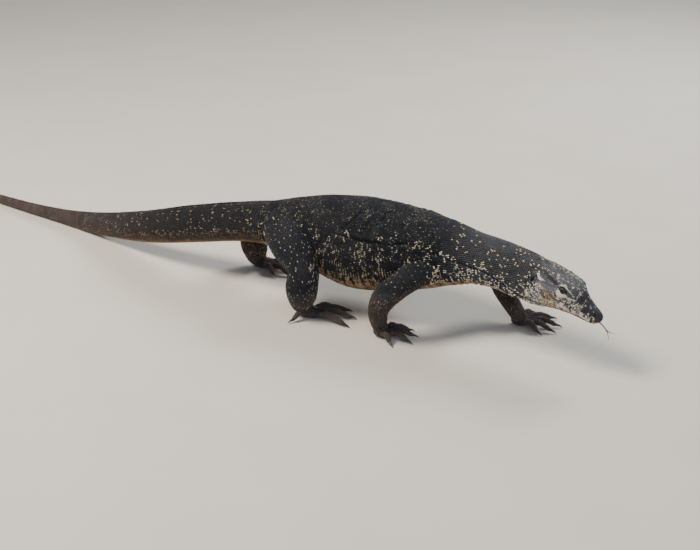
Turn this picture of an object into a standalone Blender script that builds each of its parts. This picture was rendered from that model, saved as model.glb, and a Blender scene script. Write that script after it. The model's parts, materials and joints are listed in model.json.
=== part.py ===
"""Asian water monitor (Varanus salvator), adult, life size, walking with its head lowered and its tongue out.

Metres, +Z up. The animal heads along +X, its left side is +Y, and the floor it stands on is Z = 0.
Body, neck, head and tail are one loft along the spine, parted into nodes by thin gaps.
Each leg is a loft from inside the trunk to inside its foot, cut away where it meets the trunk.
"""

import math
from dataclasses import dataclass

import bmesh
import bpy
import numpy as np
from mathutils import Matrix, Vector

CM = 0.01
MM = 0.001

GAP = 0.3 * MM  # between any two pieces that meet
BEND_SPREAD = 0.45  # how far along its path a leg looks ahead and back for its direction, to round its bends
SIDES_BODY = 24
SIDES_TAIL = 16
SIDES_LEG = 12
SIDES_TOE = 7
SIDES_CLAW = 6

HEAD_LENGTH = 10.45 * CM  # from the level of the ears to the tip of the snout
EYE_RADIUS = 5.6 * MM
CLAW_LENGTH = 12.5 * MM
TONGUE_REACH = 22 * MM  # how far the tongue stands out of the mouth

# The part's origin is the middle of its bounding box, on the floor.
ORIGIN = Vector((-16.369, 2.253, 0)) * CM

COLOURS = {
    "hide_dark": (0.030, 0.032, 0.038),
    "hide_pale": (0.42, 0.33, 0.19),
    "horn": (0.035, 0.030, 0.028),
    "eye": (0.030, 0.012, 0.008),
    "tongue": (0.10, 0.05, 0.12),
}


@dataclass(frozen=True)
class Station:
    """A cross-section of the body: where the spine is, and the flesh round it, in centimetres."""

    name: str
    place: tuple  # x, y, z
    width: float  # half-width
    top: float  # flesh above the spine line
    bottom: float  # flesh below it
    square: float = 2.0  # 2 is an ellipse, more is boxier
    lean: float = 0.0  # above 0, narrower on top than below


# From the tip of the tail to the nape.
BODY = (
    Station("tail_point", (-89.5, 15.2, 0.30), 0.22, 0.26, 0.30),
    Station("whip", (-78.5, 10.9, 0.60), 0.40, 0.66, 0.62, 2.0, 0.15),
    Station("thin_tail", (-67.2, 8.4, 0.88), 0.56, 0.98, 0.90, 2.0, 0.2),
    Station("flat_tail", (-58.4, 7.1, 1.05), 0.68, 1.14, 1.07, 2.0, 0.25),
    Station("laid_tail", (-48.4, 5.8, 1.48), 0.92, 1.50, 1.50, 2.0, 0.25),
    Station("touch_down", (-42.0, 4.8, 2.02), 1.22, 2.00, 2.03, 2.0, 0.25),
    Station("lifted_tail", (-35.4, 3.3, 3.30), 1.52, 2.34, 2.34, 2.1, 0.22),
    Station("deep_tail", (-27.4, 1.6, 5.20), 1.95, 2.80, 2.80, 2.1, 0.18),
    Station("thick_tail", (-14.7, 0.1, 8.80), 2.55, 3.20, 3.20, 2.2, 0.12),
    Station("tail_root", (-7.0, -0.1, 10.65), 2.95, 3.25, 3.25, 2.2, 0.06),
    Station("vent", (-1.8, 0.1, 11.45), 3.50, 3.45, 3.60, 2.2, 0.04),
    Station("hips", (3.2, 0.4, 11.50), 4.70, 4.75, 4.60, 2.2, 0.04),
    Station("loin", (8.4, 0.8, 11.20), 6.45, 6.15, 6.00, 2.2, 0.06),
    Station("belly", (15.3, 1.2, 10.75), 7.60, 7.15, 7.00, 2.2, 0.08),
    Station("ribs", (20.5, 1.0, 11.15), 7.10, 6.75, 6.70, 2.2, 0.06),
    Station("shoulders", (26.6, 0.4, 11.90), 5.75, 5.75, 5.75, 2.2, 0.02),
    Station("neck_root", (30.8, 0.0, 12.40), 4.50, 4.76, 4.80, 2.1, 0.0),
    Station("mid_neck", (35.0, -0.5, 12.75), 3.60, 3.62, 3.95, 2.1, 0.0),
    Station("upper_neck", (38.6, -1.0, 12.75), 3.25, 3.40, 3.85, 2.1, 0.0),
    Station("nape", (42.0, -1.65, 12.70), 3.10, 3.02, 4.20, 2.15, 0.05),
)

# Where the body is parted: a piece's name, the stations it runs between, and its cross-sections and sides.
BODY_PARTS = (
    ("tail_tip", "tail_point", "thin_tail", 9, SIDES_TAIL),
    ("tail_end", "thin_tail", "touch_down", 9, SIDES_TAIL),
    ("tail_middle", "touch_down", "thick_tail", 9, SIDES_TAIL),
    ("tail_base", "thick_tail", "vent", 6, SIDES_BODY),
    ("trunk", "vent", "neck_root", 17, SIDES_BODY),
    ("neck", "neck_root", "ears", 9, SIDES_BODY),
)
HEAD_OVERLAP = 2.8 * CM  # the head begins this far behind the ears

# The head's axis runs from between the ears to the tip of the snout.
BETWEEN_EARS = Vector((45.3, -2.45, 12.60)) * CM
HEAD_YAW = -math.radians(13.5)  # turned to the right
HEAD_PITCH = math.radians(14.0)  # lowered


@dataclass(frozen=True)
class HeadStation:
    """A cross-section of the head: how far along its axis, as a share of its length, and its flesh, in cm."""

    along: float
    centre: float  # above the axis
    width: float
    top: float
    bottom: float
    square: float
    lean: float


HEAD = (
    HeadStation(0.00, 0.00, 2.98, 2.48, 4.35, 2.5, 0.06),
    HeadStation(0.16, -0.10, 3.00, 2.58, 3.60, 2.8, 0.08),
    HeadStation(0.34, -0.20, 2.78, 2.60, 2.55, 3.2, 0.10),
    HeadStation(0.45, -0.28, 2.50, 2.66, 2.10, 3.4, 0.10),
    HeadStation(0.54, -0.40, 2.18, 2.46, 1.85, 3.3, 0.12),
    HeadStation(0.63, -0.56, 1.80, 1.94, 1.66, 2.8, 0.16),
    HeadStation(0.77, -0.80, 1.41, 1.34, 1.42, 2.6, 0.19),
    HeadStation(0.89, -0.96, 1.19, 1.05, 1.28, 2.4, 0.14),
    HeadStation(0.965, -1.05, 0.89, 0.78, 0.92, 2.2, 0.05),
    HeadStation(1.00, -1.10, 0.46, 0.38, 0.44, 2.0, 0.0),
)

EYE = (0.428, 1.90, 1.12)  # along, out from the middle and above the axis
EAR = (0.043, 2.92, 0.72)
NOSTRIL = (0.915, 0.98, -0.55)
EAR_HOLE = (3.2 * MM, 3.0 * MM, 5.4 * MM)  # half its length, depth and height
NOSTRIL_HOLE = (2.0 * MM, 1.6 * MM, 1.4 * MM)
MOUTH_CORNER = (0.27, -1.50)  # along, and above the axis
MOUTH_FRONT = (1.05, -1.58)
THROAT_DEPTH = 6.0  # a height below the whole head


@dataclass(frozen=True)
class Toe:
    """A toe, from the ankle or wrist in centimetres: (forward, towards the body's middle line)."""

    base: tuple
    tip: tuple  # of the claw


TOE_ARCH = (0.90, 1.12, 1.28, 0.98, 0.52)  # height of a toe's middle line, from its base to its claw
TOE_THICK = (0.60, 0.55, 0.50, 0.44, 0.36)
HIND_TOES = (
    Toe((1.6, 1.0), (4.2, 4.6)),
    Toe((2.4, 0.9), (6.9, 4.1)),
    Toe((2.7, 0.35), (8.6, 1.8)),
    Toe((2.6, -0.35), (8.7, -1.4)),
    Toe((0.8, -0.7), (-0.9, -4.0)),
)
FRONT_TOES = (
    Toe((1.0, 0.8), (3.2, 3.4)),
    Toe((1.6, 0.7), (5.2, 2.7)),
    Toe((1.9, 0.15), (6.2, 0.8)),
    Toe((1.7, -0.45), (5.8, -1.7)),
    Toe((0.9, -0.75), (3.0, -3.6)),
)


@dataclass(frozen=True)
class Leg:
    """A leg: its path and half-thickness from inside the trunk to inside the foot, in centimetres."""

    name: str
    upper: str
    lower: str
    foot: str
    path: tuple  # root, mid upper part, knee or elbow, mid lower part, ankle, inside the foot
    thick: tuple  # half-thickness at each of them
    heading: float  # degrees, of the foot, anticlockwise from +X
    inner: int  # +1 where the body's middle line is to the left of the foot
    toes: tuple
    reach: float  # how far the toes are stretched, 1 is at ease
    palm: tuple  # half-width, half-length, half-height


LEGS = (
    Leg(
        "hind_right", "thigh", "shank", "foot",
        (
            (1.8, -1.2, 11.9), (5.4, -5.1, 11.1), (8.8, -7.5, 8.5),
            (8.6, -7.6, 5.2), (8.3, -6.8, 2.3), (8.9, -6.5, 1.0),
        ),
        (3.4, 3.25, 2.35, 2.45, 1.90, 1.10),
        4, 1, HIND_TOES, 1.0, (1.35, 2.1, 0.95),
    ),
    Leg(
        "hind_left", "thigh", "shank", "foot",
        (
            (1.4, 1.2, 11.7), (-3.4, 4.3, 10.0), (-7.0, 6.1, 7.9),
            (-7.8, 5.3, 5.0), (-7.6, 5.7, 2.1), (-7.0, 5.7, 1.0),
        ),
        (3.3, 2.95, 2.25, 2.30, 1.75, 1.10),
        20, -1, HIND_TOES, 1.0, (1.35, 2.1, 0.95),
    ),
    Leg(
        "front_right", "upper_arm", "forearm", "hand",
        (
            (30.3, -1.0, 11.0), (26.8, -5.2, 10.2), (23.6, -8.3, 7.6),
            (22.2, -8.4, 4.9), (21.9, -7.6, 2.2), (22.5, -7.3, 0.9),
        ),
        (2.5, 2.05, 1.95, 1.62, 1.30, 0.95),
        12, 1, FRONT_TOES, 1.0, (1.25, 1.5, 0.85),
    ),
    Leg(
        "front_left", "upper_arm", "forearm", "hand",
        (
            (29.6, 1.2, 11.0), (32.4, 4.8, 9.9), (34.9, 7.3, 7.3),
            (36.5, 6.7, 4.7), (39.3, 5.4, 2.1), (40.2, 5.5, 0.9),
        ),
        (2.5, 2.05, 1.90, 1.60, 1.30, 0.95),
        24, -1, FRONT_TOES, 1.15, (1.25, 1.5, 0.85),
    ),
)


def clear_scene():
    """Removes what the startup file holds."""
    for old in list(bpy.data.objects):
        bpy.data.objects.remove(old, do_unlink=True)


def new_collection(name):
    collection = bpy.data.collections.new(name)
    bpy.context.scene.collection.children.link(collection)
    return collection


def new_material(name, roughness):
    material = bpy.data.materials.new(name)
    material.use_nodes = True
    shader = material.node_tree.nodes["Principled BSDF"]
    shader.inputs["Base Color"].default_value = (*COLOURS[name], 1)
    shader.inputs["Roughness"].default_value = roughness
    material.diffuse_color = (*COLOURS[name], 1)
    return material


def spline(knots, values, at):
    """A smooth curve through values at knots, read at each of at, that never overshoots a value."""
    knots = np.asarray(knots, float)
    values = np.asarray(values, float).reshape(len(knots), -1)
    step = np.diff(knots)[:, None]
    slope = np.diff(values, axis=0) / step
    tangent = np.empty_like(values)
    tangent[0], tangent[-1] = slope[0], slope[-1]
    before, after = slope[:-1], slope[1:]
    mean = 2 * before * after / np.where(np.abs(before + after) > 1e-12, before + after, 1)
    tangent[1:-1] = np.where(before * after > 0, mean, 0)
    index = np.clip(np.searchsorted(knots, at, side="right") - 1, 0, len(knots) - 2)
    share = ((np.asarray(at) - knots[index]) / step[index, 0])[:, None]
    first, second = values[index], values[index + 1]
    run = step[index]
    return (
        first * (2 * share**3 - 3 * share**2 + 1)
        + second * (3 * share**2 - 2 * share**3)
        + tangent[index] * run * (share**3 - 2 * share**2 + share)
        + tangent[index + 1] * run * (share**3 - share**2)
    )


def through(points, at, knots=None):
    """A smooth curve through points, read at each of at, which counts points unless knots are given."""
    points = np.asarray(points, float)
    knots = np.arange(len(points)) if knots is None else np.asarray(knots)
    tangent = np.gradient(points, knots, axis=0)
    index = np.clip(np.searchsorted(knots, at, side="right") - 1, 0, len(points) - 2)
    run = (knots[index + 1] - knots[index])[:, None]
    share = (np.asarray(at) - knots[index])[:, None] / run
    return (
        points[index] * (2 * share**3 - 3 * share**2 + 1)
        + points[index + 1] * (3 * share**2 - 2 * share**3)
        + tangent[index] * run * (share**3 - 2 * share**2 + share)
        + tangent[index + 1] * run * (share**3 - share**2)
    )


def section(sides, width, top, bottom, square, lean):
    """The outline of a cross-section as (across, up) pairs, starting on the left side."""
    angle = np.arange(sides) * math.tau / sides
    across, up = np.cos(angle), np.sin(angle)
    power = 2 / square
    rounded = np.sign(across) * np.abs(across) ** power
    raised = np.sign(up) * np.abs(up) ** power
    height = np.where(up > 0, top, bottom)
    return np.stack([width * rounded * (1 - lean * raised), height * raised], 1)


def ring(centre, forward, outline, upright=(0, 0, 1)):
    """The outline's points in space, square to forward, with its first axis to the left."""
    forward = Vector(forward).normalized()
    left = Vector(upright).cross(forward).normalized()
    up = forward.cross(left)
    return [Vector(centre) + left * a + up * b for a, b in outline]


def loft(name, rings, collection, material=None):
    """A closed body through rings of equal length, with a flat face at each end."""
    mesh_data = bmesh.new()
    rows = [[mesh_data.verts.new(point) for point in row] for row in rings]
    sides = len(rings[0])
    for near, far in zip(rows, rows[1:]):
        for i in range(sides):
            j = (i + 1) % sides
            mesh_data.faces.new((near[i], near[j], far[j], far[i]))
    mesh_data.faces.new(rows[0])
    mesh_data.faces.new(rows[-1])
    bmesh.ops.recalc_face_normals(mesh_data, faces=mesh_data.faces)
    return finished(name, mesh_data, collection, material)


def finished(name, mesh_data, collection, material=None):
    """An object of its own from mesh data, which is freed."""
    mesh = bpy.data.meshes.new(name)
    mesh_data.to_mesh(mesh)
    mesh_data.free()
    mesh.shade_smooth()
    made = bpy.data.objects.new(name, mesh)
    if material:
        mesh.materials.append(material)
    collection.objects.link(made)
    return made


def as_helper(made):
    """Marks an object as a cutter or a guide, which isn't part of the animal."""
    made.hide_render = True
    made.display_type = "WIRE"
    return made


def combine(made, other, operation):
    """Joins other to made, or cuts it away, and applies that."""
    step = made.modifiers.new(operation.lower(), "BOOLEAN")
    step.operation = operation
    step.object = other
    bpy.context.view_layer.update()
    result = bpy.data.meshes.new_from_object(made.evaluated_get(bpy.context.evaluated_depsgraph_get()))
    made.modifiers.remove(step)
    old, made.data = made.data, result
    bpy.data.meshes.remove(old)
    made.data.shade_smooth()


def discard(made):
    """Removes a helper that has done its work."""
    bpy.data.objects.remove(made, do_unlink=True)


def stand_on_floor(made):
    """Trims off what lies below the floor, which leaves a flat to stand on."""
    mesh_data = bmesh.new()
    mesh_data.from_mesh(made.data)
    everything = mesh_data.verts[:] + mesh_data.edges[:] + mesh_data.faces[:]
    cut = bmesh.ops.bisect_plane(
        mesh_data, geom=everything, dist=1e-6, plane_co=(0, 0, 0), plane_no=(0, 0, -1), clear_outer=True
    )
    rim = [piece for piece in cut["geom_cut"] if isinstance(piece, bmesh.types.BMEdge)]
    if rim:
        bmesh.ops.holes_fill(mesh_data, edges=rim)
        bmesh.ops.recalc_face_normals(mesh_data, faces=mesh_data.faces)
    mesh_data.to_mesh(made.data)
    mesh_data.free()


class Spine:
    """The line through tail, trunk, neck and head, with the flesh round it, measured along its length."""

    def __init__(self):
        places = [Vector(s.place) * CM for s in BODY]
        places += [head_place(h.along, 0, h.centre) for h in HEAD]
        flesh = [(s.width * CM, s.top * CM, s.bottom * CM, s.square, s.lean) for s in (*BODY, *HEAD)]
        chord = np.array([0.0] + [(b - a).length for a, b in zip(places, places[1:])])
        self.knots = np.cumsum(chord)
        self.places = np.array([tuple(p) for p in places])
        self.flesh = np.array(flesh)
        self.named = {s.name: k for s, k in zip(BODY, self.knots)}
        self.named["ears"] = self.knots[len(BODY)]
        self.named["snout"] = self.knots[-1]

    def point(self, at):
        return through(self.places, np.atleast_1d(at), self.knots)

    def rings(self, start, end, count, sides, grow=0.0):
        """Cross-sections from start to end, closer together where the body is slimmer."""
        fine = np.linspace(start, end, 400)
        radius = spline(self.knots, self.flesh[:, 0], fine)[:, 0]
        paced = np.concatenate([[0], np.cumsum(1 / (radius[1:] + 0.012))])
        stations = np.interp(np.linspace(0, paced[-1], count), paced, fine)
        rows = []
        for at in stations:
            centre, ahead, behind = self.point(at)[0], self.point(at + MM)[0], self.point(at - MM)[0]
            width, top, bottom, square, lean = spline(self.knots, self.flesh, np.array([at]))[0]
            outline = section(sides, width + grow, top + grow, bottom + grow, square, lean)
            rows.append(ring(centre, ahead - behind, outline))
        return rows


def head_axis():
    flat = Vector((math.cos(HEAD_YAW), math.sin(HEAD_YAW), 0))
    return flat * math.cos(HEAD_PITCH) - Vector((0, 0, 1)) * math.sin(HEAD_PITCH)


def head_place(along, out, above, side=0):
    """A point of the head: along its axis, out to a side (+1 is left) and above the axis."""
    forward = head_axis()
    left = Vector((0, 0, 1)).cross(forward).normalized()
    up = forward.cross(left)
    return BETWEEN_EARS + forward * (HEAD_LENGTH * along) + left * (side * out * CM) + up * (above * CM)


def head_turn():
    """The rotation of the head's own axes: X forward, Y left, Z up."""
    forward = head_axis()
    left = Vector((0, 0, 1)).cross(forward).normalized()
    return Matrix((forward, left, forward.cross(left))).transposed().to_4x4()


def ball(name, place, radii, turn, collection, material=None, segments=12, rows=8):
    """An ellipsoid with its own axes turned."""
    mesh_data = bmesh.new()
    shape = Matrix.Translation(place) @ turn @ Matrix.Diagonal((*radii, 1))
    bmesh.ops.create_uvsphere(mesh_data, u_segments=segments, v_segments=rows, radius=1, matrix=shape)
    return finished(name, mesh_data, collection, material)


def make_jaw_block(helpers, grow):
    """A block below the line of the mouth, which the lower jaw is cut with."""
    along, height = MOUTH_CORNER
    front, front_height = MOUTH_FRONT
    lip = []
    for share in np.linspace(0, 1, 5):
        dip = -0.16 * math.sin(math.pi * share)
        lip.append((along + (front - along) * share, height + (front_height - height) * share + dip))
    back = along - 0.02
    outline = [(back, height - 0.45), *lip, (front + 0.1, -THROAT_DEPTH), (back, -THROAT_DEPTH)]
    mesh_data = bmesh.new()
    near, far = [
        [mesh_data.verts.new(head_place(a - side_shift(a, grow), 4, h + grow / CM, side)) for a, h in outline]
        for side in (1, -1)
    ]
    mesh_data.faces.new(near)
    mesh_data.faces.new(far[::-1])
    for i in range(len(near)):
        j = (i + 1) % len(near)
        mesh_data.faces.new((near[j], near[i], far[i], far[j]))
    bmesh.ops.recalc_face_normals(mesh_data, faces=mesh_data.faces)
    return as_helper(finished("jaw_block", mesh_data, helpers))


def side_shift(along, grow):
    """How far the block's back edge moves to widen it by grow; its front edge stays put."""
    return grow / HEAD_LENGTH if along < MOUTH_CORNER[0] + 0.01 else 0


def make_head(spine, animal, helpers, materials):
    """The head with its sockets, ears, nostrils and tongue notch, and the lower jaw as a piece of its own."""
    start = spine.named["ears"] - HEAD_OVERLAP
    rings = spine.rings(start + GAP / 2, spine.named["snout"], 18, SIDES_BODY)
    head = loft("head", rings, animal, materials["hide_dark"])
    turn = head_turn()
    cutters = [tongue_tube("tongue_notch", helpers, GAP)]
    for side in (1, -1):
        socket = [EYE_RADIUS + GAP] * 3
        cutters += [
            ball("socket", head_place(*EYE, side), socket, turn, helpers, None, 12, 8),
            ball("ear_hole", head_place(*EAR, side), EAR_HOLE, turn, helpers, None, 8, 6),
            ball("nostril_hole", head_place(*NOSTRIL, side), NOSTRIL_HOLE, turn, helpers, None, 6, 5),
        ]
    for cutter in cutters:
        combine(head, as_helper(cutter), "DIFFERENCE")
        discard(cutter)
    jaw = finished("lower_jaw", mesh_copy(head), animal, materials["hide_pale"])
    inside, outside = make_jaw_block(helpers, 0), make_jaw_block(helpers, GAP)
    combine(jaw, inside, "INTERSECT")
    combine(head, outside, "DIFFERENCE")
    discard(inside)
    discard(outside)


def mesh_copy(made):
    mesh_data = bmesh.new()
    mesh_data.from_mesh(made.data)
    return mesh_data


def tongue_path():
    """Points of the tongue's middle line, from inside the mouth out and down."""
    tip = HEAD_LENGTH / CM
    reach = TONGUE_REACH / CM
    return [
        head_place(1 + (forward * reach) / tip, 0, MOUTH_FRONT[1] + 0.02 - drop * reach)
        for forward, drop in ((-0.42, 0.0), (-0.1, 0.0), (0.22, 0.09), (0.52, 0.24))
    ]


def tongue_tube(name, collection, grow, material=None):
    """The tongue's stem, a flattened tube."""
    centres = through([tuple(p) for p in tongue_path()], np.linspace(0, 3, 5))
    ahead = np.gradient(centres, axis=0)
    rings = [
        ring(c, d, section(8, 1.35 * MM - 0.35 * MM * k / 4 + grow, 0.8 * MM + grow, 0.8 * MM + grow, 2, 0))
        for k, (c, d) in enumerate(zip(centres, ahead))
    ]
    return loft(name, rings, collection, material)


def make_tongue(animal, helpers, materials):
    """The forked tongue: a stem and two tines that part, one lifted and one dropped."""
    tongue = tongue_tube("tongue", animal, 0, materials["tongue"])
    *_, before, fork = tongue_path()
    direction = (fork - before).normalized()
    left = Vector((0, 0, 1)).cross(direction).normalized()
    for side, lift in ((1, 0.25), (-1, -0.12)):
        points = [
            fork - direction * 2 * MM,
            fork + direction * 3 * MM + left * side * 1.2 * MM,
            fork + direction * 8 * MM + left * side * 4.0 * MM + Vector((0, 0, lift * 4 * MM)),
            fork + direction * 12 * MM + left * side * 7.5 * MM + Vector((0, 0, lift * 12 * MM)),
        ]
        centres = through([tuple(p) for p in points], np.linspace(0, 3, 5))
        ahead = np.gradient(centres, axis=0)
        rings = [
            ring(c, d, section(6, r, r, r, 2, 0))
            for c, d, r in zip(centres, ahead, np.linspace(0.85, 0.32, 5) * MM)
        ]
        tine = as_helper(loft("tine", rings, helpers))
        combine(tongue, tine, "UNION")
        discard(tine)


def make_eyes(animal, materials):
    for side, name in ((1, "eye_left"), (-1, "eye_right")):
        ball(name, head_place(*EYE, side), [EYE_RADIUS] * 3, head_turn(), animal, materials["eye"])


def body_rings(spine, part, grow=0.0):
    """The cross-sections of one of the lengths the body is parted into."""
    _, start, end, count, sides = part
    first = spine.named[start] + GAP / 2
    last = spine.named[end] - (HEAD_OVERLAP if end == "ears" else 0) - GAP / 2
    return spine.rings(first, last, count, sides, grow)


def make_body(spine, animal, materials):
    """Tail, trunk and neck, parted where a person would name them."""
    for part in BODY_PARTS:
        made = loft(part[0], body_rings(spine, part), animal, materials["hide_dark"])
        if part[0].startswith("tail"):
            stand_on_floor(made)


def make_trunk_block(spine, helpers):
    """The body where the legs leave it, a gap larger all round, which the legs are cut back with."""
    rings = [row for part in BODY_PARTS[3:] for row in body_rings(spine, part, GAP)]
    return as_helper(loft("trunk_block", rings, helpers))


def leg_rings(leg, start, end, count, sides=SIDES_LEG):
    """Cross-sections of a leg between two of its path's points, half a gap short of each."""
    at = np.linspace(start, end, count)
    further = through(leg.path, np.minimum(at + BEND_SPREAD, len(leg.path) - 1))
    ahead = further - through(leg.path, np.maximum(at - BEND_SPREAD, 0))
    ahead /= np.linalg.norm(ahead, axis=1)[:, None]
    centres = through(leg.path, at) * CM
    centres[0] += ahead[0] * GAP / 2
    centres[-1] -= ahead[-1] * GAP / 2
    thick = spline(np.arange(len(leg.thick)), leg.thick, at)[:, 0] * CM
    sideways = Vector((leg.path[2][1] - leg.path[0][1], leg.path[0][0] - leg.path[2][0], 0))
    return [
        ring(c, d, section(sides, r, r * 1.05, r * 1.05, 2, 0), sideways)
        for c, d, r in zip(centres, ahead, thick)
    ]


def foot_axes(leg):
    """The ankle's place on the floor, and the ways forward and towards the body's middle line."""
    heading = math.radians(leg.heading)
    forward = Vector((math.cos(heading), math.sin(heading), 0))
    return Vector((*leg.path[4][:2], 0)) * CM, forward, Vector((-forward.y, forward.x, 0)) * leg.inner


def toe_points(leg, toe):
    """The middle line of a toe from inside the palm to its claw, and the half-thickness along it."""
    ankle, forward, inward = foot_axes(leg)
    base, claw_tip = [
        ankle + (forward * f + inward * i) * CM * stretch
        for (f, i), stretch in ((toe.base, 1), (toe.tip, leg.reach))
    ]
    way = (claw_tip - base).normalized()
    length = (claw_tip - base).length - CLAW_LENGTH
    points = [
        base + way * length * share + Vector((0, 0, height * CM))
        for share, height in zip((0, 0.25, 0.5, 0.76, 1), TOE_ARCH)
    ]
    return points, np.array(TOE_THICK) * CM


def make_toe(leg, toe, helpers):
    points, thick = toe_points(leg, toe)
    at = np.linspace(0, len(points) - 1, 5)
    centres = through([tuple(p) for p in points], at)
    ahead = np.gradient(centres, axis=0)
    size = spline(np.arange(len(thick)), thick, at)[:, 0]
    rings = [ring(c, d, section(SIDES_TOE, r, r * 0.95, r, 2, 0)) for c, d, r in zip(centres, ahead, size)]
    return as_helper(loft("toe", rings, helpers))


def make_claw(leg, toe, number, animal, materials):
    """A claw that arches down from the toe's tip, its point just off the floor."""
    points, thick = toe_points(leg, toe)
    tip, way = points[-1], (points[-1] - points[-2])
    way.z = 0
    way.normalize()
    dip = points[-1] - points[-2]
    start = tip + dip.normalized() * GAP
    count = 4
    rows = []
    for k in range(count):
        share = k / (count - 1)
        drop = 0.9 * MM * share - (start.z - 0.75 * MM) * share**2 - 0.9 * MM * share**3
        centre = start + way * CLAW_LENGTH * share + Vector((0, 0, drop))
        slope = 0.9 * MM - 2 * (start.z - 0.75 * MM) * share - 2.7 * MM * share**2
        size = thick[-1] * 0.62 * (1 - share) ** 0.8 + 0.3 * MM
        direction = dip if k == 0 else way * CLAW_LENGTH + Vector((0, 0, slope))
        rows.append(ring(centre, direction, section(SIDES_CLAW, size * 0.75, size, size, 2, 0)))
    loft(f"{leg.name}_claw_{number}", rows, animal, materials["horn"])


def make_palm(leg, helpers):
    """The sole: a flat pad from behind the ankle to where the long toes part."""
    ankle, forward, _ = foot_axes(leg)
    width, length, height = (s * CM for s in leg.palm)
    centre = ankle + forward * (length - 0.9 * CM) + Vector((0, 0, height * 0.93))
    turn = Matrix.Rotation(math.radians(leg.heading), 4, "Z")
    return as_helper(ball("palm", centre, (length, width, height), turn, helpers, None, 12, 7))


def make_leg(leg, trunk_block, animal, helpers, materials):
    """Upper part, lower part and foot of a leg, with its claws."""
    hide = materials["hide_dark"]
    upper = loft(f"{leg.name}_{leg.upper}", leg_rings(leg, 0, 2, 8), animal, hide)
    combine(upper, trunk_block, "DIFFERENCE")
    loft(f"{leg.name}_{leg.lower}", leg_rings(leg, 2, 4, 7), animal, hide)
    foot = loft(f"{leg.name}_{leg.foot}", leg_rings(leg, 4, 5, 3), animal, hide)
    pieces = [make_palm(leg, helpers)] + [make_toe(leg, toe, helpers) for toe in leg.toes]
    for piece in pieces:
        combine(foot, piece, "UNION")
        discard(piece)
    stand_on_floor(foot)
    for number, toe in enumerate(leg.toes, 1):
        make_claw(leg, toe, number, animal, materials)


def main():
    clear_scene()
    animal = new_collection("water_monitor")
    helpers = new_collection("cutters")
    materials = {name: new_material(name, 0.25 if name == "eye" else 0.6) for name in COLOURS}
    spine = Spine()
    make_body(spine, animal, materials)
    make_head(spine, animal, helpers, materials)
    make_eyes(animal, materials)
    make_tongue(animal, helpers, materials)
    trunk_block = make_trunk_block(spine, helpers)
    for leg in LEGS:
        make_leg(leg, trunk_block, animal, helpers, materials)
    discard(trunk_block)
    for made in animal.objects:
        made.data.transform(Matrix.Translation(-ORIGIN))


main()
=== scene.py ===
"""An Asian water monitor, dressed: one skin, its scales, eyes, claws and tongue, on a plain pale floor.

Metres, +Z up, the animal heads along +X and its left side is +Y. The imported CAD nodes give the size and
the place; the skin lies inside them by the depth of the scales.
"""

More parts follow.
